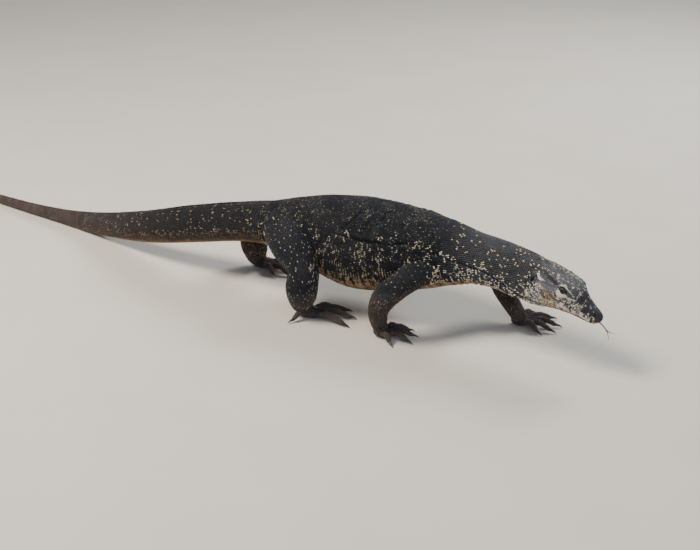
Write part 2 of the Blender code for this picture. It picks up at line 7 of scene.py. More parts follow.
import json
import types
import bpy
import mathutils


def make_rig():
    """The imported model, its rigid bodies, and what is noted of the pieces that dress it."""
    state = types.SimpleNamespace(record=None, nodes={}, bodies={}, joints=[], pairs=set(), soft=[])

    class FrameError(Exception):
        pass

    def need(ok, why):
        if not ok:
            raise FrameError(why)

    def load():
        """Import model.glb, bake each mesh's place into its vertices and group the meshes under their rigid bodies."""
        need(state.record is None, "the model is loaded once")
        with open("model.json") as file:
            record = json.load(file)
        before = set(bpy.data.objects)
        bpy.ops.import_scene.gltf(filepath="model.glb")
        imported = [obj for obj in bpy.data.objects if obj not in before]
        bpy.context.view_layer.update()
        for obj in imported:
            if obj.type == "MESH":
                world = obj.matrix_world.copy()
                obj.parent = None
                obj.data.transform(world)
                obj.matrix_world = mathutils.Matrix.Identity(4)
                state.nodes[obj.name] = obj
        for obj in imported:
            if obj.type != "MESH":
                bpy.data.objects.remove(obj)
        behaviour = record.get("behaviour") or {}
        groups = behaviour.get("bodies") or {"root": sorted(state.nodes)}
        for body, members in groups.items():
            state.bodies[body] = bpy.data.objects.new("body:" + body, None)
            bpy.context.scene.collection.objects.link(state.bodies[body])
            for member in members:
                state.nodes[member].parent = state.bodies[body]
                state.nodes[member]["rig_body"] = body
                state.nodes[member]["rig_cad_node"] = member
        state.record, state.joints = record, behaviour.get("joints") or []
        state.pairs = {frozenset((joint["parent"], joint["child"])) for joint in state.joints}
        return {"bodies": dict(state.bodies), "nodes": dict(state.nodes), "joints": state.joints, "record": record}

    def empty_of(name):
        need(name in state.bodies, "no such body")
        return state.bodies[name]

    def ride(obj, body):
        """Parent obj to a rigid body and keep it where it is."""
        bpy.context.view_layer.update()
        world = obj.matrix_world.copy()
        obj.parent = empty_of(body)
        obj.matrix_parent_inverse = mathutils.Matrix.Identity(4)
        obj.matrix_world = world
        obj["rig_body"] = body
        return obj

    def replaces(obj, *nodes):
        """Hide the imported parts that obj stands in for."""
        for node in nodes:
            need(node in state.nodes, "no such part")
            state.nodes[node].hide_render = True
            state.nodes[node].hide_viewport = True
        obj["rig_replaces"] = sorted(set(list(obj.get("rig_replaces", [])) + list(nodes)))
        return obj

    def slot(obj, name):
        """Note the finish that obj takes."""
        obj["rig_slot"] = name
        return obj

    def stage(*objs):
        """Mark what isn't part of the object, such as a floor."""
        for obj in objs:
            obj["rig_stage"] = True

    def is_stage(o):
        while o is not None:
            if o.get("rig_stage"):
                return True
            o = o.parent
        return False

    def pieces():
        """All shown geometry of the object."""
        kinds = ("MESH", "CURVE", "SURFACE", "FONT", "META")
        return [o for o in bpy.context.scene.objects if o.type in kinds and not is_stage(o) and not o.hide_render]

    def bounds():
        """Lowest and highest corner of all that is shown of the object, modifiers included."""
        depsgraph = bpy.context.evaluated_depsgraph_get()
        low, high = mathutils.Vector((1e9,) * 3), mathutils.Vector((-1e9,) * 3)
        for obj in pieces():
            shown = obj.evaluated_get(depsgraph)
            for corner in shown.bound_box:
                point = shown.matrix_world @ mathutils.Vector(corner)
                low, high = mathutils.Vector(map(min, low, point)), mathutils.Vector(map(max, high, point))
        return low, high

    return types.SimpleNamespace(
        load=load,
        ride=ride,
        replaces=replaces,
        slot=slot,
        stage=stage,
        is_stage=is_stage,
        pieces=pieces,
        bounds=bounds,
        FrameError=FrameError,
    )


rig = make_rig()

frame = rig.load()

import json
import logging
import math
from collections.abc import Callable
from dataclasses import dataclass, field
from enum import Enum
from functools import partial
from typing import ClassVar

import bmesh
import bpy
import numpy as np
from bpy.types import Material, Node, NodeSocket, Object
from mathutils import Matrix, Vector
from mathutils.bvhtree import BVHTree
from mathutils.kdtree import KDTree
from numpy.random import default_rng

CAD_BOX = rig.bounds()
SIZE_FILE = "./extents.json"
LOG = logging.getLogger("water_monitor")

CM = 0.01
MM = 0.001
COAT_DEPTH = 0.9 * MM  # the skin lies this far inside the solids, which is what the scales stand proud of it
ORIGIN = np.array((-16.369, 2.253, 0.0)) * CM  # the sizes below are laid out round the hips
BEND_SPREAD = 0.45  # how far along its path a leg looks ahead and back for its direction
HEAD_LENGTH = 10.45  # cm, from between the ears to the tip of the snout
HEAD_YAW = -math.radians(13.5)
HEAD_PITCH = math.radians(14.0)
CLAW_LENGTH = 12.5 * MM
TONGUE_REACH = 22 * MM


# ---- sizes of the animal


Array = np.ndarray  # points, ways or values, one row for each
Place = tuple[float, float, float]


@dataclass(frozen=True)
class Station:
    """A cross-section of the body, in centimetres.

    Args:
        name: What is there.
        place: The spine's x, y and z.
        width: Half-width of the flesh.
        top: Flesh above the spine line.
        bottom: Flesh below it.
        square: 2 is an ellipse, more is boxier.
        lean: Above 0, narrower on top than below.
    """

    name: str
    place: Place
    width: float
    top: float
    bottom: float
    square: float = 2.0
    lean: float = 0.0


BODY = (
    Station("tail_point", (-89.5, 15.2, 0.30), 0.22, 0.26, 0.30),
    Station("whip", (-78.5, 10.9, 0.60), 0.40, 0.66, 0.62, 2.0, 0.15),
    Station("thin_tail", (-67.2, 8.4, 0.88), 0.56, 0.98, 0.90, 2.0, 0.2),
    Station("flat_tail", (-58.4, 7.1, 1.05), 0.68, 1.14, 1.07, 2.0, 0.25),
    Station("laid_tail", (-48.4, 5.8, 1.48), 0.92, 1.50, 1.50, 2.0, 0.25),
    Station("touch_down", (-42.0, 4.8, 2.02), 1.22, 2.00, 2.03, 2.0, 0.25),
    Station("lifted_tail", (-35.4, 3.3, 3.30), 1.52, 2.34, 2.34, 2.1, 0.22),
    Station("deep_tail", (-27.4, 1.6, 5.20), 1.95, 2.80, 2.80, 2.1, 0.18),
    Station("thick_tail", (-14.7, 0.1, 8.80), 2.55, 3.20, 3.20, 2.2, 0.12),
    Station("tail_root", (-7.0, -0.1, 10.65), 2.95, 3.25, 3.25, 2.2, 0.06),
    Station("vent", (-1.8, 0.1, 11.45), 3.50, 3.45, 3.60, 2.2, 0.04),
    Station("hips", (3.2, 0.4, 11.50), 4.70, 4.75, 4.60, 2.2, 0.04),
    Station("loin", (8.4, 0.8, 11.20), 6.45, 6.15, 6.00, 2.2, 0.06),
    Station("belly", (15.3, 1.2, 10.75), 7.60, 7.15, 7.00, 2.2, 0.08),
    Station("ribs", (20.5, 1.0, 11.15), 7.10, 6.75, 6.70, 2.2, 0.06),
    Station("shoulders", (26.6, 0.4, 11.90), 5.75, 5.75, 5.75, 2.2, 0.02),
    Station("neck_root", (30.8, 0.0, 12.40), 4.50, 4.76, 4.80, 2.1, 0.0),
    Station("mid_neck", (35.0, -0.5, 12.75), 3.60, 3.62, 3.95, 2.1, 0.0),
    Station("upper_neck", (38.6, -1.0, 12.75), 3.25, 3.40, 3.85, 2.1, 0.0),
    Station("nape", (42.0, -1.65, 12.70), 3.10, 3.02, 4.20, 2.15, 0.05),
)
BETWEEN_EARS = (45.3, -2.45, 12.60)


@dataclass(frozen=True)
class HeadStation:
    """A cross-section of the head: its share of the length, and its flesh in centimetres."""

    along: float
    centre: float
    width: float
    top: float
    bottom: float
    square: float
    lean: float


HEAD = tuple(HeadStation(*row) for row in (
    (0.00, 0.00, 2.98, 2.48, 4.35, 2.5, 0.06),
    (0.16, -0.10, 3.00, 2.58, 3.60, 2.8, 0.08),
    (0.34, -0.20, 2.78, 2.60, 2.55, 3.2, 0.10),
    (0.45, -0.28, 2.50, 2.66, 2.10, 3.4, 0.10),
    (0.54, -0.40, 2.18, 2.46, 1.85, 3.3, 0.12),
    (0.63, -0.56, 1.80, 1.94, 1.66, 2.8, 0.16),
    (0.77, -0.80, 1.41, 1.34, 1.42, 2.6, 0.19),
    (0.89, -0.96, 1.19, 1.05, 1.28, 2.4, 0.14),
    (0.965, -1.05, 0.89, 0.78, 0.92, 2.2, 0.05),
    (1.00, -1.10, 0.46, 0.38, 0.44, 2.0, 0.0),
))

# Places on the head, in centimetres: along it from between the ears, out from its middle, above its axis.
EYE = (4.47, 1.90, 1.12)
EYE_RADIUS = 5.6 * MM
EAR = (0.0, 2.92, 0.93)
EAR_LEAN = 26.0  # degrees
NOSTRIL = (9.56, 0.98, -0.55)
MOUTH_CORNER = (2.82, -1.50)
MOUTH_FRONT = (10.97, -1.58)
MOUTH_DIP = 0.16


Stops = tuple[tuple[float, str], ...]  # places from 0 to 1 in a run of colours, each with its colour
# Folds of the hide: a station of the body, centimetres on from it, and degrees round from the top.
Fold = tuple[tuple[str, float, float], ...]
SIDE_FOLD: Fold = (
    ("loin", 2.5, 58), ("loin", 4.3, 62), ("belly", 0.2, 64), ("belly", 3.3, 66), ("ribs", 2.1, 67),
    ("ribs", 5.8, 63), ("shoulders", 1.2, 66), ("shoulders", 3.4, 74), ("neck_root", 2.0, 84),
    ("mid_neck", 0.2, 91), ("mid_neck", 2.7, 96), ("upper_neck", 1.6, 110), ("nape", 0.3, 123),
    ("nape", 2.0, 129), ("ears", 0.2, 127), ("ears", 2.2, 122),
)
CREASES: tuple[Fold, ...] = (
    (("belly", 1.5, 24), ("belly", 0.0, 42), ("loin", 4.8, 60)),
    (("belly", 3.6, 12), ("belly", 3.7, 36), ("belly", 2.8, 60)),
    (("ribs", 0.8, 10), ("ribs", 0.6, 28), ("belly", 5.0, 46)),
    (("ribs", 4.5, 10), ("ribs", 4.6, 26), ("ribs", 4.1, 42)),
    (("shoulders", 2.2, 26), ("shoulders", 2.9, 44), ("shoulders", 2.6, 60)),
)
THROAT_FOLDS: tuple[Fold, ...] = (
    (("neck_root", 3.0, 96), ("neck_root", 2.5, 130), ("neck_root", 2.0, 180)),
    (("mid_neck", 1.2, 108), ("mid_neck", 0.8, 140), ("mid_neck", 0.5, 180)),
    (("mid_neck", 3.4, 112), ("upper_neck", 1.5, 124), ("nape", 1.0, 144)),
    (("mid_neck", 2.4, 122), ("upper_neck", 0.8, 136), ("nape", 0.6, 158)),
)
FOLDS = (  # each kind with its depth and width in mm, and its rolls' share of the depth
    ((SIDE_FOLD,), 2.1, 2.4, 0.55),
    (CREASES, 1.3, 2.6, 0.45),
    (THROAT_FOLDS, 1.6, 2.0, 0.5),
)
MUSCLES: tuple[tuple[Fold, float, float], ...] = (  # each with its height and width in mm
    ((("shoulders", -1.6, 30), ("shoulders", 0.6, 46), ("shoulders", 2.0, 70)), 1.6, 9.0),
    ((("hips", -3.0, 34), ("hips", 0.0, 40), ("hips", 2.4, 52)), 1.3, 8.0),
    ((("neck_root", -1.0, 38), ("mid_neck", 0.0, 36), ("nape", 1.0, 34)), 1.0, 8.0),
    ((("neck_root", 0.5, 68), ("mid_neck", 0.0, 72), ("nape", 1.0, 76)), 0.9, 7.0),
    ((("thick_tail", -6.0, 60), ("thick_tail", 2.0, 62), ("tail_root", 1.0, 64)), 0.9, 9.0),
)

# Relief of the head, on each side: places in its own centimetres, then height and width in mm.
HEAD_RELIEF: tuple[tuple[tuple[Place, ...], float, float], ...] = (
    (((3.0, 2.0, 2.05), (4.0, 2.0, 1.98), (4.9, 1.84, 1.75), (5.6, 1.62, 1.45)), 1.4, 1.9),  # brow
    (((5.3, 1.62, 1.5), (6.3, 1.4, 0.95), (7.4, 1.18, 0.35), (8.6, 1.0, -0.05)), 1.0, 1.6),  # snout
    (((6.0, 1.75, 0.35), (7.2, 1.5, -0.2), (8.4, 1.25, -0.5)), -0.9, 3.2),
    (((0.2, 1.95, 2.05), (1.8, 2.0, 2.12), (3.0, 2.0, 2.08)), 0.8, 2.2),
    (((0.9, 2.8, 1.2), (2.2, 2.75, 1.3), (3.4, 2.5, 1.3)), -1.1, 3.6),  # temple
    (((0.4, 2.95, -0.8), (1.8, 2.9, -1.0), (3.0, 2.7, -0.9)), 1.3, 5.5),  # jaw muscle
    (((4.2, 2.4, -0.5), (6.0, 1.9, -0.75), (8.0, 1.5, -0.95), (9.4, 1.2, -1.05)), 0.5, 2.4),  # upper lip
    (((2.6, 0.0, 2.2), (4.2, 0.0, 2.2), (5.6, 0.0, 1.8)), -0.45, 5.0),
    (((6.2, 0.0, 1.3), (7.4, 0.0, 0.6), (8.4, 0.0, 0.3)), -0.35, 3.6),
)


@dataclass(frozen=True)
class Toe:
    """A toe, from the ankle or wrist in centimetres: forward, and towards the body's middle line."""

    base: tuple[float, float]
    tip: tuple[float, float]


TOE_ARCH = (0.90, 1.12, 1.28, 0.98, 0.52)
TOE_THICK = (0.60, 0.55, 0.50, 0.44, 0.36)
HIND_TOES = (
    Toe((1.6, 1.0), (4.2, 4.6)),
    Toe((2.4, 0.9), (6.9, 4.1)),
    Toe((2.7, 0.35), (8.6, 1.8)),
    Toe((2.6, -0.35), (8.7, -1.4)),
    Toe((0.8, -0.7), (-0.9, -4.0)),
)
FRONT_TOES = (
    Toe((1.0, 0.8), (3.2, 3.4)),
    Toe((1.6, 0.7), (5.2, 2.7)),
    Toe((1.9, 0.15), (6.2, 0.8)),
    Toe((1.7, -0.45), (5.8, -1.7)),
    Toe((0.9, -0.75), (3.0, -3.6)),
)


@dataclass(frozen=True)
class Leg:
    """A leg: its path and half-thickness from inside the trunk to inside the foot, in centimetres.

    Args:
        name: Which leg it is.
        nodes: The CAD nodes of its flesh, from the top down.
        path: Root, mid upper part, knee or elbow, mid lower part, ankle, inside the foot.
        thick: Half-thickness at each of them.
        heading: Degrees of the foot, anticlockwise from +X.
        inner: +1 where the body's middle line is to the left of the foot.
        toes: Its toes.
        reach: How far the toes are stretched.
        palm: Half-width, half-length and half-height of the sole.
    """

    name: str
    nodes: tuple[str, str, str]
    path: tuple[Place, ...]
    thick: tuple[float, ...]
    heading: float
    inner: int
    toes: tuple[Toe, ...]
    reach: float
    palm: Place


HIND_NODES = ("thigh", "shank", "foot")
FRONT_NODES = ("upper_arm", "forearm", "hand")
LEGS = (
    Leg(
        "hind_right", HIND_NODES,
        (
            (1.8, -1.2, 11.9), (5.4, -5.1, 11.1), (8.8, -7.5, 8.5),
            (8.6, -7.6, 5.2), (8.3, -6.8, 2.3), (8.9, -6.5, 1.0),
        ),
        (3.4, 3.25, 2.35, 2.45, 1.90, 1.10), 4, 1, HIND_TOES, 1.0, (1.35, 2.1, 0.95),
    ),
    Leg(
        "hind_left", HIND_NODES,
        (
            (1.4, 1.2, 11.7), (-3.4, 4.3, 10.0), (-7.0, 6.1, 7.9),
            (-7.8, 5.3, 5.0), (-7.6, 5.7, 2.1), (-7.0, 5.7, 1.0),
        ),
        (3.3, 2.95, 2.25, 2.30, 1.75, 1.10), 20, -1, HIND_TOES, 1.0, (1.35, 2.1, 0.95),
    ),
    Leg(
        "front_right", FRONT_NODES,
        (
            (30.3, -1.0, 11.0), (26.8, -5.2, 10.2), (23.6, -8.3, 7.6),
            (22.2, -8.4, 4.9), (21.9, -7.6, 2.2), (22.5, -7.3, 0.9),
        ),
        (2.5, 2.05, 1.95, 1.62, 1.30, 0.95), 12, 1, FRONT_TOES, 1.0, (1.25, 1.5, 0.85),
    ),
    Leg(
        "front_left", FRONT_NODES,
        (
            (29.6, 1.2, 11.0), (32.4, 4.8, 9.9), (34.9, 7.3, 7.3),
            (36.5, 6.7, 4.7), (39.3, 5.4, 2.1), (40.2, 5.5, 0.9),
        ),
        (2.5, 2.05, 1.90, 1.60, 1.30, 0.95), 24, -1, FRONT_TOES, 1.15, (1.25, 1.5, 0.85),
    ),
)


# ---- curves and tubes of flesh


def hermite(knots: Array, values: Array, tangent: Array, at: Array) -> Array:
    """A smooth curve with given values and tangents at its knots.

    Args:
        knots: Where the values are, rising.
        values: One row for each knot.
        tangent: The slope at each knot.
        at: Where to read it, of any shape.

    Returns:
        The values there, in at's shape with the values' width added.
    """
    flat = np.ravel(at)
    index = np.clip(np.searchsorted(knots, flat, side="right") - 1, 0, len(knots) - 2)
    run = (knots[index + 1] - knots[index])[:, None]
    share = (flat - knots[index])[:, None] / run
    found = (
        values[index] * (2 * share**3 - 3 * share**2 + 1)
        + values[index + 1] * (3 * share**2 - 2 * share**3)
        + tangent[index] * run * (share**3 - 2 * share**2 + share)
        + tangent[index + 1] * run * (share**3 - share**2)
    )
    return found.reshape(*np.shape(at), values.shape[1])


def level(knots: Array, values: Array) -> Array:
    """Tangents for a curve that never overshoots a value."""
    slope = np.diff(values, axis=0) / np.diff(knots)[:, None]
    before, after = slope[:-1], slope[1:]
    total = np.where(np.abs(before + after) > 1e-12, before + after, 1)
    middle = np.where(before * after > 0, 2 * before * after / total, 0)
    return np.concatenate([slope[:1], middle, slope[-1:]])


def unit(vectors: Array) -> Array:
    """Vectors of length one."""
    return vectors / np.maximum(np.linalg.norm(vectors, axis=-1, keepdims=True), 1e-12)


def flattened(ways: Array, normals: Array) -> Array:
    """Ways brought down along a surface, given the way it faces at each."""
    return ways - normals * (ways * normals).sum(1, keepdims=True)


def walked(line: Array) -> Array:
    """How far along a line each of its points is."""
    return np.concatenate([[0], np.cumsum(np.linalg.norm(np.diff(line, axis=0), axis=1))])


class Tube:
    """Flesh round a smooth line, which the body, each leg and each toe is."""

    def __init__(
        self,
        places: Array,
        flesh: Array,
        knots: Array,
        look: float,
        upright: Place = (0, 0, 1),
    ) -> None:
        """Keeps the tube's line and its flesh.

        Args:
            places: Points of the line, in metres.
            flesh: Half-width, top, bottom, square and lean at each.
            knots: How far along the tube each is, in any unit.
            look: How far it looks ahead and back for its direction, in that unit.
            upright: The way that counts as up round the tube.
        """
        self.places = np.asarray(places, float)
        self.flesh = np.asarray(flesh, float)
        self.knots = np.asarray(knots, float)
        self.bend = np.gradient(self.places, self.knots, axis=0)
        self.slope = level(self.knots, self.flesh)
        self.look = look
        self.upright = np.asarray(upright, float)

    def centre(self, at: Array) -> Array:
        """Points of the line."""
        return hermite(self.knots, self.places, self.bend, at)

    def axes(self, at: Array) -> tuple[Array, Array, Array]:
        """The ways forward, left and up along the tube."""
        ahead = self.centre(np.minimum(at + self.look, self.knots[-1]))
        forward = unit(ahead - self.centre(np.maximum(at - self.look, self.knots[0])))
        left = unit(np.cross(np.broadcast_to(self.upright, forward.shape), forward))
        return forward, left, np.cross(forward, left)

    def surface(self, at: Array, turn: Array, inset: float = 0.0) -> Array:
        """Points on the flesh.

        Args:
            at: How far along the tube.
            turn: Radians round it from the top, positive to the left, in a shape that fits at.
            inset: How far inside the surface.

        Returns:
            The points, with a last axis of x, y and z.
        """
        at, turn = np.broadcast_arrays(at, turn)
        width, top, bottom, square, lean = np.moveaxis(hermite(self.knots, self.flesh, self.slope, at), -1, 0)
        across, up = np.sin(turn), np.cos(turn)
        rounded = np.sign(across) * np.abs(across) ** (2 / square)
        raised = np.sign(up) * np.abs(up) ** (2 / square)
        height = np.where(up > 0, top, bottom) - inset
        _, left, above = self.axes(at)
        side = (width - inset) * rounded * (1 - lean * raised)
        return self.centre(at) + left * side[..., None] + above * (height * raised)[..., None]

    def shell(self, start: float, end: float, rings: int, sides: int, inset: float) -> tuple[Array, list]:
        """A closed mesh of the flesh.

        Args:
            start: Where it begins.
            end: Where it ends.
            rings: Its cross-sections.
            sides: Points round each.
            inset: How far inside the surface.

        Returns:
            Its points and faces.
        """
        at = np.linspace(start, end, rings)
        turn = np.arange(sides) * math.tau / sides
        points = self.surface(at[:, None], turn[None, :], inset).reshape(-1, 3)
        first = np.arange(rings - 1)[:, None] * sides + np.arange(sides)
        after = np.arange(rings - 1)[:, None] * sides + (np.arange(sides) + 1) % sides
        quads = np.stack([first, after, after + sides, first + sides], -1).reshape(-1, 4)
        last = (rings - 1) * sides
        caps = [list(range(sides - 1, -1, -1)), list(range(last, last + sides))]
        return points, [*quads.tolist(), *caps]


class BodyForm(Tube):
    """Tail, trunk, neck and head as one tube, measured in metres from the tip of the tail."""

    def __init__(self, head: "HeadFrame") -> None:
        """Lays the stations of body and head on one line."""
        places = [np.array(s.place) * CM - ORIGIN for s in BODY]
        places += [head.place(h.along * HEAD_LENGTH, 0, h.centre) for h in HEAD]
        flesh = [(s.width * CM, s.top * CM, s.bottom * CM, s.square, s.lean) for s in (*BODY, *HEAD)]
        places = np.array(places)
        knots = walked(places)
        super().__init__(places, flesh, knots, MM)
        self.named = {s.name: k for s, k in zip(BODY, knots)}
        self.named["ears"] = knots[len(BODY)]
        self.named["snout"] = knots[-1]
        self.dense = np.linspace(0, knots[-1], 3000)
        self.tree = grown(self.centre(self.dense))

    def where(self, points: Array) -> tuple[Array, Array]:
        """How far along the body and how many degrees round it from the top points are."""
        index = np.array([self.tree.find(p)[1] for p in points])
        at = self.dense[index]
        _, left, up = self.axes(at)
        out = points - self.centre(at)
        turn = np.arctan2((out * left).sum(1), (out * up).sum(1))
        return at, np.degrees(turn)


class HeadFrame:
    """The head's own axes: forward along it, left and up, from between the ears."""

    def __init__(self) -> None:
        """Turns the axes with the head."""
        flat = np.array((math.cos(HEAD_YAW), math.sin(HEAD_YAW), 0))
        self.origin = np.array(BETWEEN_EARS) * CM - ORIGIN
        self.forward = flat * math.cos(HEAD_PITCH) - np.array((0, 0, 1)) * math.sin(HEAD_PITCH)
        self.left = unit(np.cross((0, 0, 1), self.forward))
        self.up = np.cross(self.forward, self.left)

    def place(self, along: float, out: float, above: float) -> Array:
        """A point of the head, from centimetres along it, out to the left and above its axis."""
        return self.origin + (self.forward * along + self.left * out + self.up * above) * CM

    def local(self, points: Array) -> Array:
        """Points in the head's own centimetres."""
        return (points - self.origin) @ np.stack([self.forward, self.left, self.up], 1) / CM

    def ear_axes(self) -> tuple[Array, Array]:
        """The long and the short way of the ear's slit, which leans forward at its top."""
        lean = math.radians(EAR_LEAN)
        tall = unit(self.up * math.cos(lean) + self.forward * math.sin(lean))
        return tall, np.cross(tall, self.left)


class LegForm(Tube):
    """A leg as a tube; its path's points count 0 to 5."""

    def __init__(self, leg: Leg) -> None:
        """Lays the leg on its path."""
        places = np.array(leg.path) * CM - ORIGIN
        root, knee = leg.path[0], leg.path[2]
        flesh = [(r * CM, r * 1.05 * CM, r * 1.05 * CM, 2, 0) for r in leg.thick]
        super().__init__(places, flesh, np.arange(6), BEND_SPREAD, (knee[1] - root[1], root[0] - knee[0], 0))
        self.leg = leg
        heading = math.radians(leg.heading)
        self.ankle = places[4] * (1, 1, 0)
        self.forward = np.array((math.cos(heading), math.sin(heading), 0))
        self.inward = np.array((-math.sin(heading), math.cos(heading), 0)) * leg.inner

    def toe(self, toe: Toe) -> "ToeForm":
        """One of its toes."""
        base, tip = [
            self.ankle + (self.forward * f + self.inward * i) * CM * stretch
            for (f, i), stretch in ((toe.base, 1), (toe.tip, self.leg.reach))
        ]
        return ToeForm(base, tip)

    def palm(self) -> tuple[Array, Place]:
        """The middle of the sole's pad, and its half-length, half-width and half-height."""
        width, length, height = (s * CM for s in self.leg.palm)
        centre = self.ankle + self.forward * (length - 0.9 * CM) + np.array((0, 0, height * 0.93))
        return centre, (length, width, height)


class ToeForm(Tube):
    """A toe as a tube from inside the palm to its claw; its points count 0 to 4."""

    def __init__(self, base: Array, tip: Array) -> None:
        """Arches the toe between its base and its claw."""
        self.way = unit(tip - base)
        length = np.linalg.norm(tip - base) - CLAW_LENGTH
        places = [
            base + self.way * length * share + np.array((0, 0, height * CM))
            for share, height in zip((0, 0.25, 0.5, 0.76, 1), TOE_ARCH)
        ]
        flesh = [(r * CM, r * 0.95 * CM, r * CM, 2, 0) for r in TOE_THICK]
        super().__init__(np.array(places), flesh, np.arange(5), 0.3)


# ---- small helpers


def noise(points: Array, size: float, seed: int) -> Array:
    """Smooth noise between 0 and 1 in space.

    Args:
        points: Where to read it.
        size: How large its lumps are, in metres.
        seed: Which of many noises it is.

    Returns:
        One value for each point.
    """
    cell = points / size + 1000.0
    base = np.floor(cell).astype(np.int64)
    share = cell - base
    share = share * share * (3 - 2 * share)
    total = np.zeros(len(points))
    for corner in np.ndindex(2, 2, 2):
        key = (base + corner).astype(np.uint64)
        mixed = key[:, 0] * 73856093 ^ key[:, 1] * 19349663 ^ key[:, 2] * 83492791
        mixed = (mixed ^ np.uint64(seed * 2654435761)) & np.uint64(0xFFFFFFFF)
        for shift, factor in ((13, 1540483477), (15, 2246822519)):
            mixed = (mixed ^ (mixed >> np.uint64(shift))) * np.uint64(factor) & np.uint64(0xFFFFFFFF)
        mixed ^= mixed >> np.uint64(16)
        weight = np.prod(np.where(np.array(corner), share, 1 - share), axis=1)
        total += weight * (mixed & np.uint64(0xFFFFFF)).astype(float) / 0xFFFFFF
    return total


def ramp(values: Array, low: float, high: float) -> Array:
    """Rises smoothly from 0 at low to 1 at high."""
    share = np.clip((np.asarray(values) - low) / (high - low), 0, 1)
    return share * share * (3 - 2 * share)


def peak(values: Array, middle: float, width: float) -> Array:
    """1 at a middle value, falling softly to 0 on both sides of it."""
    return np.exp(-(((values - middle) / width) ** 2))


def select_only(piece: Object) -> None:
    """Selects a piece alone, which operators then act on."""
    bpy.ops.object.select_all(action="DESELECT")
    piece.select_set(True)
    bpy.context.view_layer.objects.active = piece


def linked(name: str, data: bpy.types.ID) -> Object:
    """An object in the scene, with a name and what it shows."""
    piece = bpy.data.objects.new(name, data)
    bpy.context.scene.collection.objects.link(piece)
    return piece


def new_piece(name: str, points: Array, faces: list) -> Object:
    """An object of its own from points and faces."""
    mesh = bpy.data.meshes.new(name)
    mesh.from_pydata(np.asarray(points).tolist(), [], faces)
    mesh.update()
    return linked(name, mesh)


def primitive(add: Callable, **sizes: object) -> Object:
    """One of Blender's primitives at the origin, the only piece selected."""
    bpy.ops.object.select_all(action="DESELECT")
    add(location=(0, 0, 0), **sizes)
    return bpy.context.active_object


def merged(pieces: list[Object]) -> Object:
    """Several pieces joined to the first."""
    select_only(pieces[0])
    for piece in pieces:
        piece.select_set(True)
    bpy.ops.object.join()
    return bpy.context.active_object


def store(piece: Object, name: str, values: Array) -> None:
    """Stores one value, or a row of four, for each point of a piece."""
    kind, part = ("FLOAT_COLOR", "color") if np.ndim(values) > 1 else ("FLOAT", "value")
    layer = piece.data.attributes.new(name, kind, "POINT")
    layer.data.foreach_set(part, np.ravel(values).astype(np.float32))


def apply_modifier(piece: Object, kind: str, **settings: object) -> None:
    """Adds a modifier to a piece and applies it."""
    select_only(piece)
    step = piece.modifiers.new(kind.lower(), kind)
    for key, value in settings.items():
        setattr(step, key, value)
    bpy.ops.object.modifier_apply(modifier=step.name)


def points_of(piece: Object) -> Array:
    """A piece's points as an array."""
    found = np.empty(len(piece.data.vertices) * 3)
    piece.data.vertices.foreach_get("co", found)
    return found.reshape(-1, 3)


def normals_of(piece: Object) -> Array:
    """The way each of a piece's points faces."""
    found = np.empty(len(piece.data.vertices) * 3, np.float32)
    piece.data.vertex_normals.foreach_get("vector", found)
    return found.reshape(-1, 3).astype(float)


def set_points(piece: Object, points: Array) -> None:
    """Moves a piece's points."""
    piece.data.vertices.foreach_set("co", np.ravel(points))
    piece.data.update()


def tree_of(piece: Object) -> BVHTree:
    """A tree that finds the nearest place on a piece."""
    faces = [tuple(f.vertices) for f in piece.data.polygons]
    return BVHTree.FromPolygons(points_of(piece).tolist(), faces)


def grown(points: Array) -> KDTree:
    """A tree that finds the nearest of many points."""
    tree = KDTree(len(points))
    for i, point in enumerate(points):
        tree.insert(point, i)
    tree.balance()
    return tree


# ---- the skin


